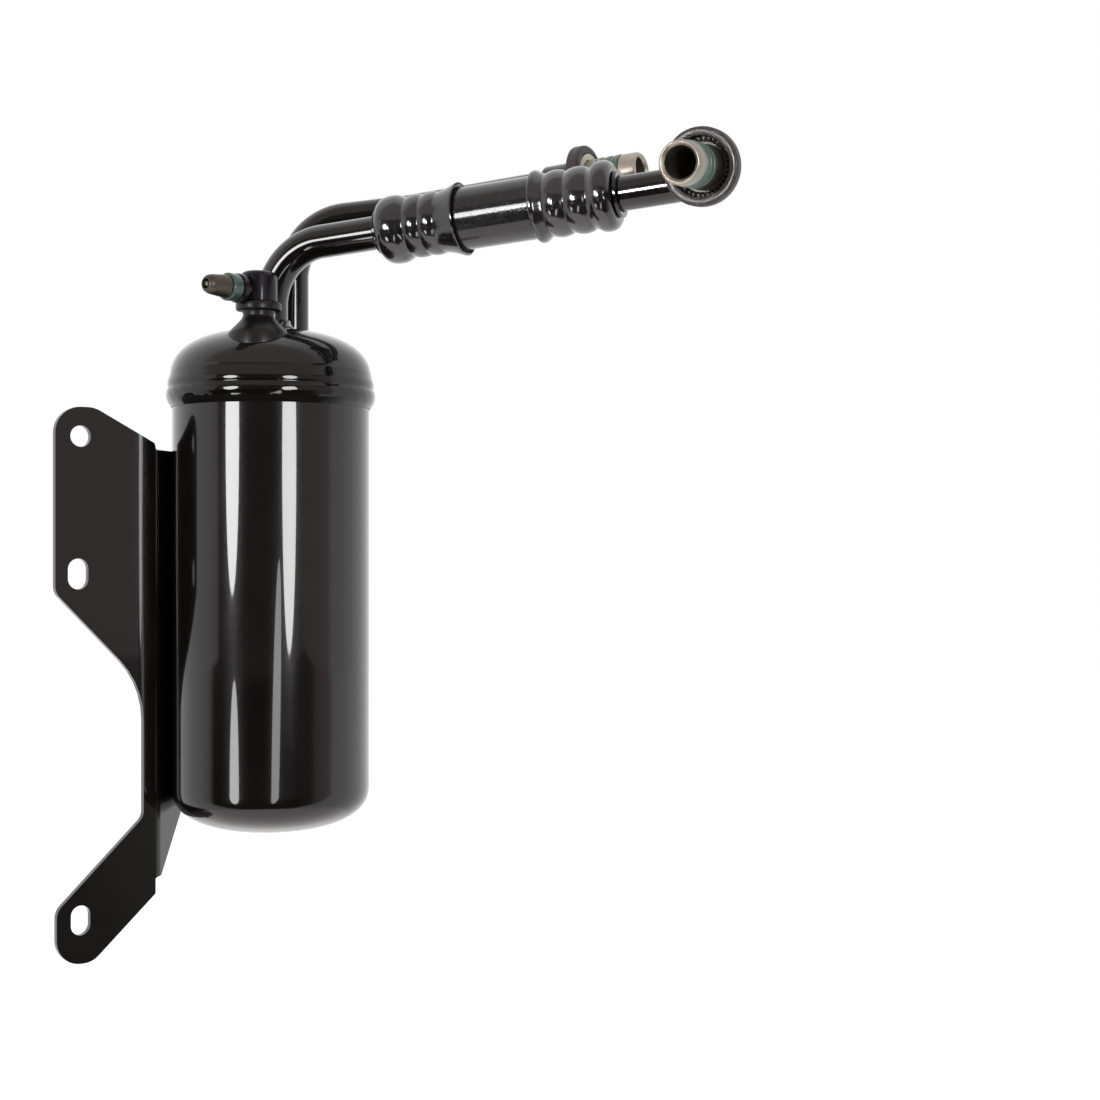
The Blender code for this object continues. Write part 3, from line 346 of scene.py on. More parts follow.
def ease_edges(piece, width, rounds=2, sharp=30):
    """Rounds every edge sharper than an angle."""
    soft = piece.modifiers.new("eased", "BEVEL")
    soft.width = width
    soft.segments = rounds
    soft.limit_method = "ANGLE"
    soft.angle_limit = math.radians(sharp)
    bpy.context.view_layer.objects.active = piece
    bpy.ops.object.modifier_apply(modifier=soft.name)


def seat(piece, place, material, slot, *stands_for, smooth=35):
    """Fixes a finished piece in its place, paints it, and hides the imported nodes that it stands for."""
    only(piece)
    piece.matrix_world = place
    bpy.ops.object.transform_apply(location=True, rotation=True, scale=True)
    bpy.ops.object.shade_smooth_by_angle(angle=math.radians(smooth))
    flat = piece.modifiers.new("flat_faces", "WEIGHTED_NORMAL")
    flat.keep_sharp = True
    bpy.ops.object.modifier_apply(modifier=flat.name)
    piece.data.materials.clear()
    piece.data.materials.append(material)
    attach(piece, "root")
    if stands_for:
        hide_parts(*stands_for)


def domed(radius, start, rise, power, steps=20):
    """The curve of a pressed dome, from its rim in to its crown."""
    points = []
    for i in range(steps + 1):
        angle = math.pi / 2 * i / steps
        across = radius * math.cos(angle) ** (2 / power) if i < steps else 0
        points.append((across, start + rise * math.sin(angle) ** (2 / power)))
    return points


on_axis = Matrix.Translation(CAN_FOOT)
can_paint = enamel("can_enamel")
cup_inside = CAN_RADIUS - CAN_WALL
neck_inside = NECK_RADIUS - CAN_WALL
cup_line = domed(cup_inside, BOTTOM_HEIGHT, CAN_WALL - BOTTOM_HEIGHT, DOME_POWER)[::-1]
cup_line += [(cup_inside, NECK_START), (neck_inside, NECK_END), (neck_inside, CUP_TOP)]
cup_line += [(NECK_RADIUS, CUP_TOP), (NECK_RADIUS, NECK_END), (CAN_RADIUS, NECK_START)]
cup_line += domed(CAN_RADIUS, BOTTOM_HEIGHT, -BOTTOM_HEIGHT, DOME_POWER)
cup = turn_outline("can_cup", cup_line)
seat(cup, on_axis, can_paint, "paint", "canister_shell")


def cut_away(piece, tool):
    """Cuts one finished shape out of another and throws the tool away."""
    hollow = piece.modifiers.new("hollow", "BOOLEAN")
    hollow.operation = "DIFFERENCE"
    hollow.solver = "EXACT"
    hollow.object = tool
    bpy.context.view_layer.update()
    only(piece)
    bpy.ops.object.modifier_apply(modifier=hollow.name)
    bpy.data.objects.remove(tool, do_unlink=True)


def drill(piece, place, radius, low, high):
    """Drills a round hole along a place's upright."""
    bit = turn_outline("bit", [(0, low), (radius, low), (radius, high), (0, high)], 48)
    bit.matrix_world = place
    cut_away(piece, bit)


TUBE_OUTER = 7.5 * MM
OUTLET_FOOT = (0, -0.5 * MM)
INLET_FOOT = (5.4 * MM, 30.4 * MM)
PORT_FOOT = (-1.4 * MM, -27.6 * MM)
CAP_RADIUS = 45.4 * MM
CAP_SKIRT = 198 * MM
CAP_SHOULDER = 204 * MM
CAP_RISE = 23.5 * MM
TUBE_HOLE = 7.8 * MM
PORT_HOLE = 2.8 * MM
cap_inside = CAP_RADIUS - CAN_WALL
cap_line = domed(CAP_RADIUS, CAP_SHOULDER, CAP_RISE, DOME_POWER)[::-1]
cap_line += [(CAP_RADIUS, CAP_SKIRT), (cap_inside, CAP_SKIRT)]
cap_line += domed(cap_inside, CAP_SHOULDER, CAP_RISE - CAN_WALL, DOME_POWER)
cap = turn_outline("can_cap", cap_line)
for foot, hole in ((OUTLET_FOOT, TUBE_HOLE), (INLET_FOOT, TUBE_HOLE), (PORT_FOOT, PORT_HOLE)):
    drill(cap, Matrix.Translation((*foot, 0)), hole, CAP_SKIRT - 2 * MM, CAP_SHOULDER + 28 * MM)
seat(cap, on_axis, enamel("cap_enamel", gloss=0.2, peel=0.3), "paint", "top_cap")

BEAD = (
    (45.2, 207.6), (45.5, 206.2), (45.95, 204.7), (46.35, 203.5), (46.5, 202.6), (46.5, 201.4),
    (46.32, 200.7), (46.28, 200.2), (46.6, 199.5), (46.95, 198.7), (47.1, 197.6), (47.05, 196.4),
    (46.85, 195.2), (46.4, 193.9), (45.7, 192.6), (45.0, 191.8), (44.75, 191.4), (44.75, 197.7),
    (45.6, 197.7),
)
BEAD_LUMP = 0.05 * MM
BEAD_FACE = 45.8 * MM
BEAD_FOOT_TOP = 200 * MM


def bead_enamel_shaded_foot():
    """The can's enamel, dulled on the bead's front foot up to a wavy edge: a painted shade band under the
    bead.
    """
    paint = enamel("bead_enamel_shaded_foot", peel=0.12)
    tree = paint.node_tree
    shader = tree.nodes["Principled BSDF"].inputs
    where = tree.nodes.new("ShaderNodeTexCoord").outputs["Object"]
    place = parted(tree, where)
    # Painted shade: in front of the can and below a wavy line at the bead's foot, the clear coat goes and the
    # enamel turns rough, darkening the band where shade falls under the bead.
    wave = clouds(tree, where, 320, 3)
    lift = reckoned(tree, "MULTIPLY_ADD", wave, 3.2 * MM, place["Z"])
    above = passed(tree, lift, spot(0, 0, 195.9).z, spot(0, 0, 196.3).z)
    behind = passed(tree, place["Y"], spot(0, -37, 0).y, spot(0, -27, 0).y)
    wet = reckoned(tree, "MAXIMUM", above, behind)
    vary(tree, wet, 0.6, 0.18, shader["Roughness"])
    tree.links.new(reckoned(tree, "MULTIPLY", wet, 0.9), shader["Coat Weight"])
    shader["Specular IOR Level"].default_value = 0.05
    return paint


bead = turn_outline("can_weld_bead", in_metres(BEAD), 160, ring=True)
for vert in bead.data.vertices:
    bearing = math.atan2(vert.co.y, vert.co.x)
    lump = math.sin(37 * bearing + 900 * vert.co.z) + math.sin(61 * bearing - 1400 * vert.co.z)
    reach = math.hypot(vert.co.x, vert.co.y)
    if reach > BEAD_FACE and vert.co.z < BEAD_FOOT_TOP:
        vert.co.x *= 1 + lump * BEAD_LUMP / reach
        vert.co.y *= 1 + lump * BEAD_LUMP / reach
seat(bead, on_axis, bead_enamel_shaded_foot(), "paint", "seam_weld", smooth=60)

# The mounting bracket: one blank of 3 mm steel, punched, folded once, rolled round the can at its rear
# edge and stitch-welded to it in two places, then sprayed with the can in the same gloss black enamel.
# BLANK lists the corners of the flat blank and their radii; HOLES the place, radius and half straight.
SHEET = 3.0 * MM
PLATE_HEADING = math.radians(215.5)
PLATE_OFFSET = 19.36 * MM
FOLD_AT = 46.3 * MM
FOLD_ANGLE = math.radians(40.1)
FOLD_RADIUS = 5 * MM
FLANGE_END = 9.2 * MM
FLANGE_ROLLED = 16 * MM
BLANK = (
    (94.2, 108.5, 7), (94.2, 190, 11.5), (76.4, 190, 12), (48.2, 175.2, 1), (47.6, 172.2, 1),
    (24, 172.2, 3), (9.2, 164, 3), (9.2, 26, 3), (24, 6.6, 3), (44, -19.4, 1), (47.8, -20, 1),
    (47.8, -27.1, 1), (77.4, -54.2, 10), (93.6, -54.2, 11), (93.6, -30.3, 8), (53.5, 7.9, 6),
    (53.5, 66.7, 39),
)
HOLES = ((82.8, 177.1, 4.65, 0), (83.9, 116.7, 4.65, 2.1), (82.8, -35.1, 4.4, 2.1))


def rounded_route(corners, radii, step):
    """A route through corners, with an arc in place of each inner corner."""
    points = [corners[0]]
    for before, corner, after, radius in zip(corners, corners[1:], corners[2:], radii):
        inward = (before - corner).normalized()
        outward = (after - corner).normalized()
        turn = math.pi - inward.angle(outward)
        setback = radius * math.tan(turn / 2)
        centre = corner + (inward + outward).normalized() * (radius / math.cos(turn / 2))
        first = corner + inward * setback - centre
        last = corner + outward * setback - centre
        count = max(2, math.ceil(turn / step))
        for i in range(count + 1):
            share = i / count
            arm = first * math.sin((1 - share) * turn) + last * math.sin(share * turn)
            points.append(centre + arm / math.sin(turn))
    points.append(corners[-1])
    return points


def blank_outline():
    """The blank's edge, each corner rounded."""
    points = []
    for i, (x, y, radius) in enumerate(BLANK):
        corner = Vector((x, y, 0)) * MM
        before = Vector((*BLANK[i - 1][:2], 0)) * MM
        after = Vector((*BLANK[(i + 1) % len(BLANK)][:2], 0)) * MM
        step = math.radians(9 if radius > 2 else 30)
        points += rounded_route([before, corner, after], [radius * MM], step)[1:-1]
    return points


def hole_outline(x, y, radius, half):
    """A round hole, or a slot where half its straight length is more than nothing."""
    points = []
    for i in range(48):
        angle = math.tau * (i + 0.5) / 48
        lift = math.copysign(half, math.sin(angle))
        points.append(Vector((x + radius * math.cos(angle), y + lift + radius * math.sin(angle), 0)) * MM)
    return points


plate_out = Vector((math.cos(PLATE_HEADING), math.sin(PLATE_HEADING), 0))
plate_front = Vector((-plate_out.y, plate_out.x, 0))


def pressed_line(at):
    """Where a point of the blank's front face ends up in plan, once folded and rolled."""
    foot = plate_front * -PLATE_OFFSET
    half = FOLD_RADIUS * FOLD_ANGLE / 2
    start = FOLD_AT + half
    if at >= start:
        return foot + plate_out * at
    pivot = foot + plate_out * start - plate_front * FOLD_RADIUS
    turned_by = min((start - at) / FOLD_RADIUS, FOLD_ANGLE)
    point = pivot + Matrix.Rotation(turned_by, 3, "Z") @ (plate_front * FOLD_RADIUS)
    rest = FOLD_AT - half - at
    if rest <= 0:
        return point
    heading = Matrix.Rotation(FOLD_ANGLE, 3, "Z") @ -plate_out
    straight = -point.dot(heading)
    if rest <= straight:
        return point + heading * rest
    touch = point + heading * straight
    return Matrix.Rotation(-(rest - straight) / touch.length, 3, "Z") @ touch


def thicken(piece, wall, offset):
    """Gives a skin its wall, and points its faces outward."""
    only(piece)
    solid = piece.modifiers.new("wall", "SOLIDIFY")
    solid.thickness = wall
    solid.offset = offset
    solid.use_even_offset = True
    bpy.ops.object.modifier_apply(modifier=solid.name)
    bpy.ops.object.mode_set(mode="EDIT")
    bpy.ops.mesh.select_all(action="SELECT")
    bpy.ops.mesh.normals_make_consistent(inside=False)
    bpy.ops.object.mode_set(mode="OBJECT")


blank = bpy.data.curves.new("bracket_blank", "CURVE")
blank.dimensions = "2D"
blank.fill_mode = "BOTH"
for outline in [blank_outline()] + [hole_outline(*hole) for hole in HOLES]:
    edge = blank.splines.new("POLY")
    edge.points.add(len(outline) - 1)
    edge.use_cyclic_u = True
    for held, point in zip(edge.points, outline):
        held.co = (*point, 1)
bracket = bpy.data.objects.new("bracket_plate", blank)
studio.collection.objects.link(bracket)
only(bracket)
bpy.ops.object.convert(target="MESH")
bracket = bpy.context.object
half_fold = FOLD_RADIUS * FOLD_ANGLE / 2
fold_lines = [FOLD_AT - half_fold + 2 * half_fold * i / 10 for i in range(11)]
fold_lines += [FLANGE_END + FLANGE_ROLLED * i / 12 for i in range(1, 13)]
bpy.ops.object.mode_set(mode="EDIT")
bpy.ops.mesh.select_all(action="SELECT")
bpy.ops.mesh.remove_doubles(threshold=1e-6)
for line in fold_lines:
    bpy.ops.mesh.select_all(action="SELECT")
    bpy.ops.mesh.bisect(plane_co=(line, 0, 0), plane_no=(1, 0, 0), threshold=1e-6)
bpy.ops.object.mode_set(mode="OBJECT")
for vert in bracket.data.vertices:
    place = pressed_line(vert.co.x)
    vert.co = (place.x, place.y, vert.co.y)
bpy.ops.object.mode_set(mode="EDIT")
bpy.ops.mesh.select_all(action="SELECT")
bpy.ops.mesh.normals_make_consistent(inside=False)
bpy.ops.object.mode_set(mode="OBJECT")
broad = max(bracket.data.polygons, key=lambda face: face.area)
thicken(bracket, SHEET, -1 if broad.normal.dot(plate_front) > 0 else 1)
ease_edges(bracket, 0.45 * MM, rounds=3, sharp=40)
plate_paint = enamel("bracket_enamel")
seat(bracket, on_axis, plate_paint, "sheet", "mounting_bracket")

STITCH_AT = 46.65 * MM
STITCH_SHIFT = 2.2 * MM
STITCH_LENGTH = 32 * MM
STITCH_RADIUS = 1.9 * MM
STITCH_STEPS = 64
stitch_foot = pressed_line(FLANGE_END).normalized() * STITCH_AT
stitch_foot = Matrix.Rotation(-STITCH_SHIFT / STITCH_AT, 3, "Z") @ stitch_foot


def round_rod(name, points, radius, sides, swell=None):
    """A round rod along a route, with a swell for each point where it isn't even."""
    rod = bpy.data.curves.new(name, "CURVE")
    rod.dimensions = "3D"
    rod.bevel_depth = radius
    rod.bevel_resolution = (sides - 4) // 2
    rod.use_fill_caps = swell is not None
    line = rod.splines.new("POLY")
    line.points.add(len(points) - 1)
    for i, point in enumerate(points):
        line.points[i].co = (*point, 1)
        line.points[i].radius = swell[i] if swell else 1
    made = bpy.data.objects.new(name, rod)
    studio.collection.objects.link(made)
    only(made)
    bpy.ops.object.convert(target="MESH")
    made = bpy.context.object
    bpy.ops.object.mode_set(mode="EDIT")
    bpy.ops.mesh.select_all(action="SELECT")
    bpy.ops.mesh.remove_doubles(threshold=1e-6)
    bpy.ops.mesh.select_all(action="SELECT")
    bpy.ops.mesh.normals_make_consistent(inside=False)
    bpy.ops.object.mode_set(mode="OBJECT")
    return made


for side, low in (("upper", 118 * MM), ("lower", 40 * MM)):
    counts = range(STITCH_STEPS + 1)
    ripple = [0.86 + 0.14 * abs(math.sin(i * math.pi / 4)) for i in counts]
    ends = [min(1, math.sqrt(min(i, STITCH_STEPS - i) / 3 + 0.05)) for i in counts]
    heights = [low + STITCH_LENGTH * i / STITCH_STEPS for i in counts]
    route = [Vector((stitch_foot.x, stitch_foot.y, height)) for height in heights]
    swell = [a * b for a, b in zip(ripple, ends)]
    stitch = round_rod("stitch_weld_" + side, route, STITCH_RADIUS, 16, swell)
    seat(stitch, on_axis, can_paint, "paint", "bracket_weld_" + side, smooth=50)

# The tubes: 15 mm steel, bent cold, enamelled with the can. Each is brazed into the cap in a small
# fillet, and ends inside a crimped shell of the hose or in the socket of its coupling.
TUBE_WALL = 1.2 * MM
BEND_STEP = math.radians(3)
OUTLET_CORNER = Vector((0, -0.5, 264.05)) * MM
OUTLET_TURN = Vector((206.4, -69.6, 283.9)) * MM
OUTLET_TIP = Vector((175.8, -142.2, 273.8)) * MM
INLET_CORNER = Vector((5.4, 30.4, 280.8)) * MM
INLET_TURN = Vector((60.3, 25.4, 286.3)) * MM
INLET_TIP = Vector((167.8, -26.8, 294.3)) * MM
NEAR_LIP = 94.3 * MM
FAR_LIP = 128.75 * MM
SOCKET = 34.3 * MM
TUBE_IN_SHELL = 2.5 * MM
OUTLET_START = 200 * MM
INLET_START = 206 * MM
BEND_RADIUS = 28 * MM
LAST_BEND_RADIUS = 25 * MM
run = (OUTLET_TURN - OUTLET_CORNER).normalized()
outlet_back = (OUTLET_TURN - OUTLET_TIP).normalized()
inlet_back = (INLET_TURN - INLET_TIP).normalized()


def on_run(distance):
    """A place on the outlet's straight run."""
    return OUTLET_CORNER + run * distance


def bent_tube(name, corners, radii, node):
    """A hollow tube through its corners."""
    route = rounded_route(corners, radii, BEND_STEP)
    piece = round_rod(name, route, TUBE_OUTER - TUBE_WALL / 2, 48)
    thicken(piece, TUBE_WALL, 0)
    seat(piece, on_axis, can_paint, "paint", node)


outlet_foot = Vector((*OUTLET_FOOT, OUTLET_START))
outlet_route = [outlet_foot, OUTLET_CORNER, on_run(NEAR_LIP - TUBE_IN_SHELL)]
bent_tube("outlet_pipe", outlet_route, [BEND_RADIUS], "outlet_tube")
hose_end_route = [on_run(FAR_LIP + TUBE_IN_SHELL), OUTLET_TURN, OUTLET_TIP + outlet_back * SOCKET]
bent_tube("hose_end_pipe", hose_end_route, [BEND_RADIUS], "hose_end_tube")
inlet_foot = Vector((*INLET_FOOT, INLET_START))
inlet_route = [inlet_foot, INLET_CORNER, INLET_TURN, INLET_TIP + inlet_back * SOCKET]
bent_tube("inlet_pipe", inlet_route, [BEND_RADIUS, LAST_BEND_RADIUS], "inlet_tube")

FOOT_SHOULDER = 207 * MM
FOOT_RISE = 20.5 * MM
FOOT_POWER = 2.15
FOOT_GAP = 0.3 * MM


def fit_to_cap(piece):
    """Hollows the foot of a piece so that it sits on the cap's dome."""
    reach = CAP_RADIUS + FOOT_GAP
    inside = domed(reach, FOOT_SHOULDER, FOOT_RISE + FOOT_GAP, FOOT_POWER)[::-1]
    inside += [(reach, 190 * MM), (0, 190 * MM)]
    cut_away(piece, turn_outline("cap_space", inside))


def stand_at(piece, foot):
    """Moves a turned piece from the can's axis to its foot on the cap."""
    only(piece)
    piece.location = (*foot, 0)
    bpy.ops.object.transform_apply(location=True)


for side, foot in (("outlet", OUTLET_FOOT), ("inlet", INLET_FOOT)):
    away = math.hypot(*foot) / CAP_RADIUS
    level = (FOOT_SHOULDER + FOOT_RISE * (1 - away ** FOOT_POWER) ** (1 / FOOT_POWER)) / MM
    fillet = [(8.6 + 1.9 * (i / 6) ** 2, level + 4 - 3.0 * i / 6) for i in range(7)]
    fillet += [(10.5, level - 8), (7.8, level - 8), (7.8, level + 4)]
    collar = turn_outline(side + "_braze", in_metres(fillet), 96, ring=True)
    stand_at(collar, foot)
    fit_to_cap(collar)
    seat(collar, on_axis, can_paint, "paint", side + "_collar")

# The hose: a short length of reinforced rubber pushed over the ends of both tubes, and held by a
# crimped steel shell at each end. The jaws leave three round bulges with grooves between them, and a
# low ridge wherever two jaws meet. A stop ring on the tube keeps each shell in place.
HOSE_OUTER = 13.65 * MM
HOSE_CRUSHED = 11.5 * MM
HOSE_BORE = 7.8 * MM
HOSE_STOPS_SHORT = 1.8
PINCH_START = 1.3 * MM
PINCH_END = 5.2 * MM
SHELL_GROOVE = 13.2 * MM
JAWS = 8
STOP_RING_RADIUS = 10.2
STOP_RING_WIDTH = 1.6
NEAR_SHELL = {
    "length": 38.2,
    "flare": ((16.0, 0), (16.08, 0.35), (15.95, 0.95), (15.3, 2.6), (14.3, 5.4), (13.55, 8.0)),
    "bulges": ((9.8, 16.8, 13.9), (17.2, 24.2, 13.9), (24.8, 0, 15.1)),
}
FAR_SHELL = {
    "length": 36.2,
    "flare": ((15.0, 0), (15.45, 0.3), (15.65, 0.9), (15.6, 2.0), (15.0, 3.0), (13.9, 4.4)),
    "bulges": ((5.6, 15.2, 14.5), (15.6, 25.2, 14.5), (25.8, 0, 15.2)),
}


def along(start, direction):
    """A placing matrix whose upright runs along the direction."""
    turn = direction.normalized().to_track_quat("Z", "Y")
    return on_axis @ Matrix.Translation(start) @ turn.to_matrix().to_4x4()


def hose_rubber():
    """Black hose cover: fine cloth marks from its wrapping, its tone a little lighter on their raised parts.
    """
    rubber, shader, where = fresh_finish("hose_rubber")
    tree = rubber.node_tree
    shader["Specular IOR Level"].default_value = 0.15
    shader["Coat Weight"].default_value = 1.0
    shader["Coat Roughness"].default_value = 0.05
    cloth = clouds(tree, where, 260, 8)
    cover = tinted(tree, cloth, [(0.3, (0.0026, 0.0024, 0.0026)), (0.75, (0.0065, 0.006, 0.006))])
    tree.links.new(cover, shader["Base Color"])
    vary(tree, cloth, 0.2, 0.34, shader["Roughness"])
    emboss(tree, cloth, 0.04, 0.0003, shader)
    return rubber


def shell_outline(length, flare, bulges):
    """Half the outline of a crimped shell: its lip, the bulges between the jaws, and its rounded end."""
    points = [(radius, -depth) for radius, depth in flare]
    groove = SHELL_GROOVE / MM
    for start, end, crest in bulges[:-1]:
        for i in range(15):
            share = i / 14
            rise = (crest - groove) * math.sin(math.pi * share) ** 0.8 if 0 < i < 14 else 0
            points.append((groove + rise, -start - (end - start) * share))
    start, _, crest = bulges[-1]
    points.append((groove, -start))
    for i in range(1, 13):
        share = i / 12
        angle = math.radians(-62 + 142 * share)
        deep = start + 0.9 + (length - start - 0.9) * (math.sin(angle) + 0.883) / 1.868
        points.append((crest - 4.6 * (1 - math.cos(angle)) ** 1.15, -deep))
    points += [(7.8, -length), (7.8, -length + 1.5), (11.8, -length + 1.5), (11.8, -5.2), (13.95, -1.6)]
    points.append((flare[0][0] - 0.7, 0))
    return in_metres(points)


def crimp(piece, low, high, lift):
    """Raises the ridges that the gaps between the crimping jaws leave along the grooves."""
    for vert in piece.data.vertices:
        reach = math.hypot(vert.co.x, vert.co.y)
        if low < -vert.co.z < high and reach > 12.2 * MM:
            phase = math.atan2(vert.co.y, vert.co.x) * JAWS / math.tau % 1
            ridge = math.exp(-((phase - 0.5) / 0.07) ** 2)
            inward = max(0, 14.3 * MM - reach) / (1.1 * MM)
            grow = 1 + lift * ridge * min(1, inward) / reach
            vert.co.x *= grow
            vert.co.y *= grow


RIDGE = 0.12 * MM
SHELL_TONE = (0.0036, 0.0028, 0.0031)
rubber = hose_rubber()
shell_paint = enamel("shell_enamel", tone=SHELL_TONE, gloss=0.25, peel=0.1, haze=0.09, wet=1.72)
half = (FAR_LIP - NEAR_LIP) / 2
near_end = half + (NEAR_SHELL["length"] - HOSE_STOPS_SHORT) * MM
far_end = half + (FAR_SHELL["length"] - HOSE_STOPS_SHORT) * MM
hose_line = [(HOSE_BORE, far_end), (HOSE_CRUSHED, far_end), (HOSE_CRUSHED, half + PINCH_END)]
hose_line += [(HOSE_OUTER, half + PINCH_START), (HOSE_OUTER, -half - PINCH_START)]
hose_line += [(HOSE_CRUSHED, -half - PINCH_END), (HOSE_CRUSHED, -near_end), (HOSE_BORE, -near_end)]
hose = turn_outline("rubber_hose", hose_line, 96, ring=True)
ease_edges(hose, 0.4 * MM, sharp=25)
seat(hose, along(on_run((NEAR_LIP + FAR_LIP) / 2), run), rubber, "rubber", "suction_hose")

for side, lip, way, sizes in (("near", NEAR_LIP, 1, NEAR_SHELL), ("far", FAR_LIP, -1, FAR_SHELL)):
    shell = turn_outline(side + "_crimped_shell", shell_outline(**sizes), 144, ring=True)
    crimp(shell, 4 * MM, (sizes["length"] - 12) * MM, RIDGE)
    seat(shell, along(on_run(lip), run * way), shell_paint, "ferrule", side + "_ferrule", smooth=50)
    start = -sizes["length"] - 0.3
    end = start - STOP_RING_WIDTH
    ring_line = [(7.8, start), (STOP_RING_RADIUS, start), (STOP_RING_RADIUS, end), (7.8, end)]
    stop = turn_outline(side + "_stop", in_metres(ring_line), 96, ring=True)
    ease_edges(stop, 0.4 * MM, rounds=3)
    seat(stop, along(on_run(lip), run * way), can_paint, "paint", side + "_stop_ring")

# The two couplings: a machined spigot with three green band seals in its grooves, a pressed cage that
# opens toward the tip, and in it a garter spring, a wire coil bent into a loose ring. A painted sleeve
# joins each spigot to its tube, and the inlet has a cream nylon ring in front of its cage.
NOSE_BORE = 6.2
NOSE_OUTER = 8.6
GROOVE_FLOOR = 7.0
GROOVE_WIDTH = 3.4
COIL_TURNS = 34
COIL_RADIUS = 11.2
COIL_SWING = 1.1
COIL_DEPTH = 27.6
COIL_POINTS = 12
WIRE_RADIUS = 0.4 * MM
SEAL_GROOVES = (8.2, 12.4, 16.6)
SEAL_BORE = 7.3
SEAL_OUTER = 8.95


def bare_metal(name, tone, rough, grain_height=1.0, metallic=1.0):
    """Bare metal: cloudy stains in its tone, and a fine grain in its polish and its skin."""
    metal, shader, where = fresh_finish(name)
    tree = metal.node_tree
    shader["Metallic"].default_value = metallic
    grain = clouds(tree, where, 170, 9, 0.7)
    stain = clouds(tree, where, 60, 4)
    dark = tuple(part * 0.72 for part in tone)
    tree.links.new(tinted(tree, stain, [(0.32, dark), (0.62, tone)]), shader["Base Color"])
    vary(tree, grain, rough - 0.08, rough + 0.1, shader["Roughness"])
    emboss(tree, grain, 0.12 * grain_height, 0.0002, shader)
    return metal


def seal_rubber(name, dark, light):
    """Green seal rubber with a light film of assembly oil and a faint bloom."""
    rubber, shader, where = fresh_finish(name)
    tree = rubber.node_tree
    shader["Coat Weight"].default_value = 0.4
    shader["Coat Roughness"].default_value = 0.12
    bloom = clouds(tree, where, 210, 5)
    tree.links.new(tinted(tree, bloom, [(0.3, dark), (0.72, light)]), shader["Base Color"])
    vary(tree, bloom, 0.25, 0.42, shader["Roughness"])
    emboss(tree, bloom, 0.1, 0.0002, shader)
    return rubber


spigot_metal = bare_metal("spigot_metal", (0.46, 0.42, 0.36), 0.38)
# The spring wire gets a near-black tone, darker than bare steel: painted shade for the dark inside of its
# cage.
dark_shaded_spring_metal = bare_metal("spring_wire_painted_dark", (0.028, 0.023, 0.019), 0.6)
CAGE_TONE = (0.036, 0.029, 0.030)
cage_paint = enamel("cage_enamel", tone=CAGE_TONE, gloss=0.42, peel=0.05, coat=0.22, haze=0.16)
green_seal = seal_rubber("green_seal", (0.035, 0.078, 0.055), (0.075, 0.135, 0.102))


def band_seal(name, place, rubber, bore, outer, low, high, node):
    """One seal: a band of rubber with rounded shoulders and a shallow waist, in its groove."""
    middle = (low + high) / 2
    band = [(bore, high), (outer - 0.6, high), (outer - 0.18, high - 0.18), (outer, high - 0.6)]
    band += [(outer - 0.08, middle), (outer, low + 0.6), (outer - 0.18, low + 0.18), (outer - 0.6, low)]
    band.append((bore, low))
    ring = turn_outline(name, in_metres(band), 96, ring=True)
    seat(ring, place, rubber, "seal", node, smooth=60)


def cream_nylon():
    """Cream nylon: slightly see-through, with flow marks from its mould and handling dirt."""
    nylon, shader, where = fresh_finish("cream_nylon")
    tree = nylon.node_tree
    shader["Subsurface Weight"].default_value = 0.1
    shader["Subsurface Scale"].default_value = 0.001
    flow = clouds(tree, where, 130, 5)
    cream = tinted(tree, flow, [(0.25, (0.42, 0.36, 0.27)), (0.6, (0.70, 0.63, 0.52))])
    tree.links.new(cream, shader["Base Color"])
    vary(tree, flow, 0.32, 0.5, shader["Roughness"])
    return nylon


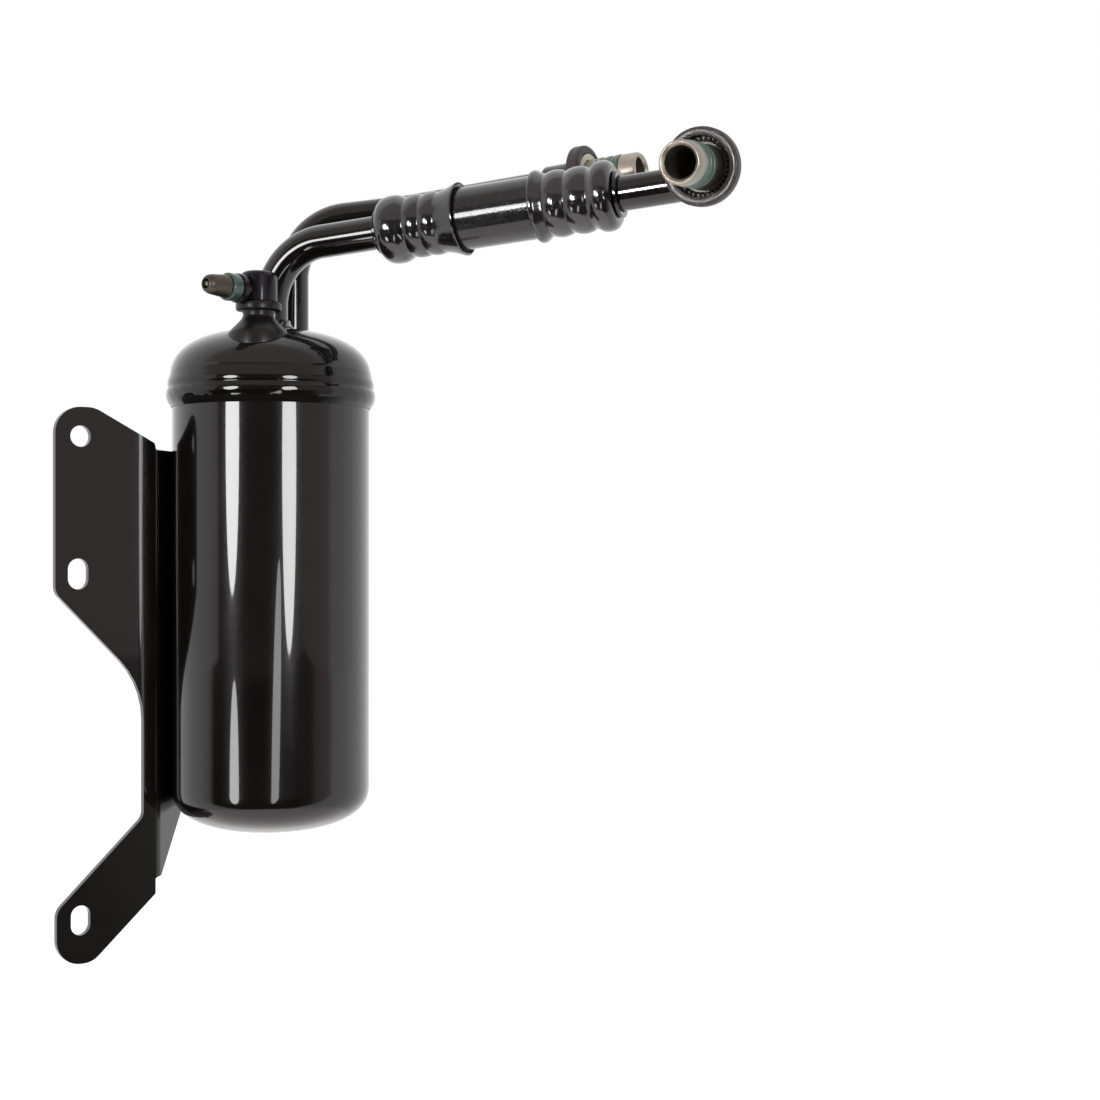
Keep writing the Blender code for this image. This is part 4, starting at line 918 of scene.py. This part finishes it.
for side, corner, tip in (("outlet", OUTLET_TURN, OUTLET_TIP), ("inlet", INLET_TURN, INLET_TIP)):
    place = along(tip, tip - corner)
    nose_line = [(NOSE_BORE, -34.05), (NOSE_BORE, -1.5), (6.45, -1.0), (7.35, -0.1), (7.6, 0)]
    nose_line += [(7.85, -0.05), (NOSE_OUTER, -1.2)]
    for start in SEAL_GROOVES:
        end = start + GROOVE_WIDTH
        nose_line += [(NOSE_OUTER, -start), (GROOVE_FLOOR, -start), (GROOVE_FLOOR, -end), (NOSE_OUTER, -end)]
    nose_line += [(NOSE_OUTER, -31.35), (7.9, -31.35), (7.9, -34.05)]
    nose = turn_outline(side + "_nose", in_metres(nose_line), 96, ring=True)
    ease_edges(nose, 0.18 * MM, sharp=40)
    seat(nose, place, spigot_metal, "bare", side + "_spigot")
    sleeve_line = [(9.2, -31.0), (9.2, -44.95), (8.9, -45.85), (8.3, -46.35), (7.95, -46.35)]
    sleeve_line += [(7.95, -34.25), (8.65, -34.25), (8.65, -31.0)]
    sleeve = turn_outline(side + "_sleeve", in_metres(sleeve_line), 96, ring=True)
    ease_edges(sleeve, 0.2 * MM, sharp=40)
    seat(sleeve, place, can_paint, "paint")
    cage_line = [(11.9, -25.55), (12.15, -25.2), (12.8, -24.95), (14.2, -24.9), (14.9, -25.1), (15.35, -25.6)]
    cage_line += [(15.5, -26.3), (15.5, -29.7), (15.3, -30.35), (14.8, -30.7), (8.9, -30.7), (8.9, -29.4)]
    cage_line += [(13.9, -29.4), (14.2, -29.1), (14.2, -26.4), (13.8, -25.95), (12.2, -25.95)]
    cage = turn_outline(side + "_cage_ring", in_metres(cage_line), 96, ring=True)
    seat(cage, place, cage_paint, "paint", side + "_cage", smooth=50)
    coil = []
    for i in range(COIL_TURNS * COIL_POINTS):
        round_ring = math.tau * i / (COIL_TURNS * COIL_POINTS)
        round_wire = math.tau * i / COIL_POINTS
        reach = (COIL_RADIUS + COIL_SWING * math.cos(round_wire)) * MM
        rise = (-COIL_DEPTH + COIL_SWING * math.sin(round_wire)) * MM
        coil.append(Vector((reach * math.cos(round_ring), reach * math.sin(round_ring), rise)))
    spring = bpy.data.curves.new(side + "_coil", "CURVE")
    spring.dimensions = "3D"
    spring.bevel_depth = WIRE_RADIUS
    spring.bevel_resolution = 2
    wire = spring.splines.new("POLY")
    wire.points.add(len(coil) - 1)
    wire.use_cyclic_u = True
    for held, point in zip(wire.points, coil):
        held.co = (*point, 1)
    wound = bpy.data.objects.new(side + "_coil", spring)
    studio.collection.objects.link(wound)
    only(wound)
    bpy.ops.object.convert(target="MESH")
    seat(bpy.context.object, place, dark_shaded_spring_metal, "spring", side + "_garter_spring", smooth=80)
    for i, start in enumerate(SEAL_GROOVES):
        number = str(i + 1)
        ends = (-start - 3.1, -start - 0.3)
        name = side + "_green_ring_" + number
        band_seal(name, place, green_seal, SEAL_BORE, SEAL_OUTER, *ends, side + "_seal_" + number)

marker_line = [(8.9, -24.75), (9.05, -24.6), (11.45, -24.6), (11.6, -24.75), (11.6, -25.45)]
marker_line += [(11.45, -25.6), (9.05, -25.6), (8.9, -25.45)]
marker = turn_outline("inlet_cream_ring", in_metres(marker_line), 96, ring=True)
seat(marker, along(INLET_TIP, -inlet_back), cream_nylon(), "cream", "inlet_marker_ring")

# The service port: a turned post brazed on the cap, a round head in navy black paint, and a brown
# brass valve that is screwed into it sideways, with its painted neck, its green seal and its pin.
VALVE_TURN = math.radians(-127.8)
post_line = [(2.5, 236), (9.5, 236), (10.0, 235.5), (10.0, 233.0), (9.5, 232.5), (7.2, 232.3)]
post_line += [(6.8, 230.5), (7.1, 229.6), (7.9, 228.3), (9.1, 227.0), (10.9, 225.2), (12.3, 223.7)]
post_line += [(13.5, 222.1), (13.5, 211), (2.5, 211)]
post = turn_outline("port_turned_post", in_metres(post_line), 96, ring=True)
stand_at(post, PORT_FOOT)
fit_to_cap(post)
POST_TONE = (0.0032, 0.0024, 0.0022)
post_paint = enamel("post_enamel", tone=POST_TONE, gloss=0.42, peel=0.12, coat=0.45, haze=0.3)
seat(post, on_axis, post_paint, "paint", "port_post", smooth=45)

VALVE_HEIGHT = 241.2 * MM
NAVY_TONE = (0.0055, 0.0045, 0.0075)
head_paint = enamel("navy_head_paint", tone=NAVY_TONE, gloss=0.3, peel=0.03, coat=0.35)
sideways = Vector((math.cos(VALVE_TURN), math.sin(VALVE_TURN), 0))
valve_turned = sideways.to_track_quat("Z", "Y").to_matrix().to_4x4()
valve_at = Matrix.Translation(Vector((*PORT_FOOT, VALVE_HEIGHT))) @ valve_turned
head_line = [(0, 249.8), (4.6, 249.8)]
head_line += [(5.15 + 3.0 * math.sin(a), 246.8 + 3.0 * math.cos(a)) for a in (0.2, 0.5, 0.8, 1.1, 1.4)]
head_line += [(8.15, 236.6), (7.85, 236.3), (2.5, 236.3), (2.5, 242.2), (0, 242.2)]
head = turn_outline("port_navy_head", in_metres(head_line), 96)
stand_at(head, PORT_FOOT)
drill(head, valve_at, 4.3 * MM, 4.1 * MM, 20 * MM)
drill(head, valve_at, 2.5 * MM, 0, 12 * MM)
seat(head, on_axis, head_paint, "head", "port_head")

brass = bare_metal("brown_brass", (0.115, 0.098, 0.082), 0.42)
neck_paint = enamel("valve_neck_paint", tone=(0.0055, 0.0040, 0.0036), gloss=0.3, coat=0.4)
neck_line = [(2.2, 13.4), (6.0, 13.4), (6.4, 13.0), (6.4, 10.9), (6.0, 10.5), (4.0, 10.5), (4.0, 4.4)]
neck_line.append((2.2, 4.4))
neck = turn_outline("valve_neck", in_metres(neck_line), 72, ring=True)
seat(neck, on_axis @ valve_at, neck_paint, "paint", smooth=40)
stem_line = [(2.2, 30.6), (2.5, 30.6), (3.2, 30.2), (3.8, 29.4), (4.15, 28.3), (4.35, 27.2), (4.95, 20.4)]
stem_line += [(5.15, 19.8), (4.85, 19.3), (4.0, 19.3), (4.0, 13.55), (2.2, 13.55)]
stem = turn_outline("valve_stem", in_metres(stem_line), 72, ring=True)
seat(stem, on_axis @ valve_at, brass, "brass", "service_valve", smooth=40)
teal_seal = seal_rubber("valve_seal", (0.022, 0.042, 0.036), (0.045, 0.078, 0.068))
band_seal("valve_green_ring", on_axis @ valve_at, teal_seal, 4.3, 6.05, 13.7, 19.0, "valve_seal")
core_line = [(0, 30.35), (0.7, 30.3), (1.05, 29.95), (1.05, 28.9), (1.9, 28.5), (1.9, 16.6), (0, 16.6)]
core = turn_outline("valve_pin", in_metres(core_line), 48)
pin_brass = bare_metal("pin_brass", (0.30, 0.27, 0.23), 0.4)
seat(core, on_axis @ valve_at, pin_brass, "brass", "valve_core", smooth=40)

# Inside the can: the pickup tube, its oil filter, the vapour baffle and the desiccant bag keep their
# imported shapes, which nothing shows, and take the finish of the real ones.
mesh_cloth = bare_metal("filter_gauze", (0.58, 0.58, 0.55), 0.5, 4.0)
tube_metal = bare_metal("drawn_aluminium", (0.62, 0.61, 0.59), 0.35)
baffle_steel = bare_metal("baffle_steel", (0.42, 0.41, 0.40), 0.42)
bag_felt = bare_metal("bag_felt", (0.70, 0.68, 0.62), 0.85, 6.0, metallic=0.0)
inner_finish = {
    "pickup_tube": tube_metal,
    "pickup_filter": mesh_cloth,
    "vapour_baffle": baffle_steel,
    "desiccant_bag": bag_felt,
}
for name, finish in inner_finish.items():
    packed = bpy.data.objects[name]
    for held in packed.material_slots:
        held.material = finish
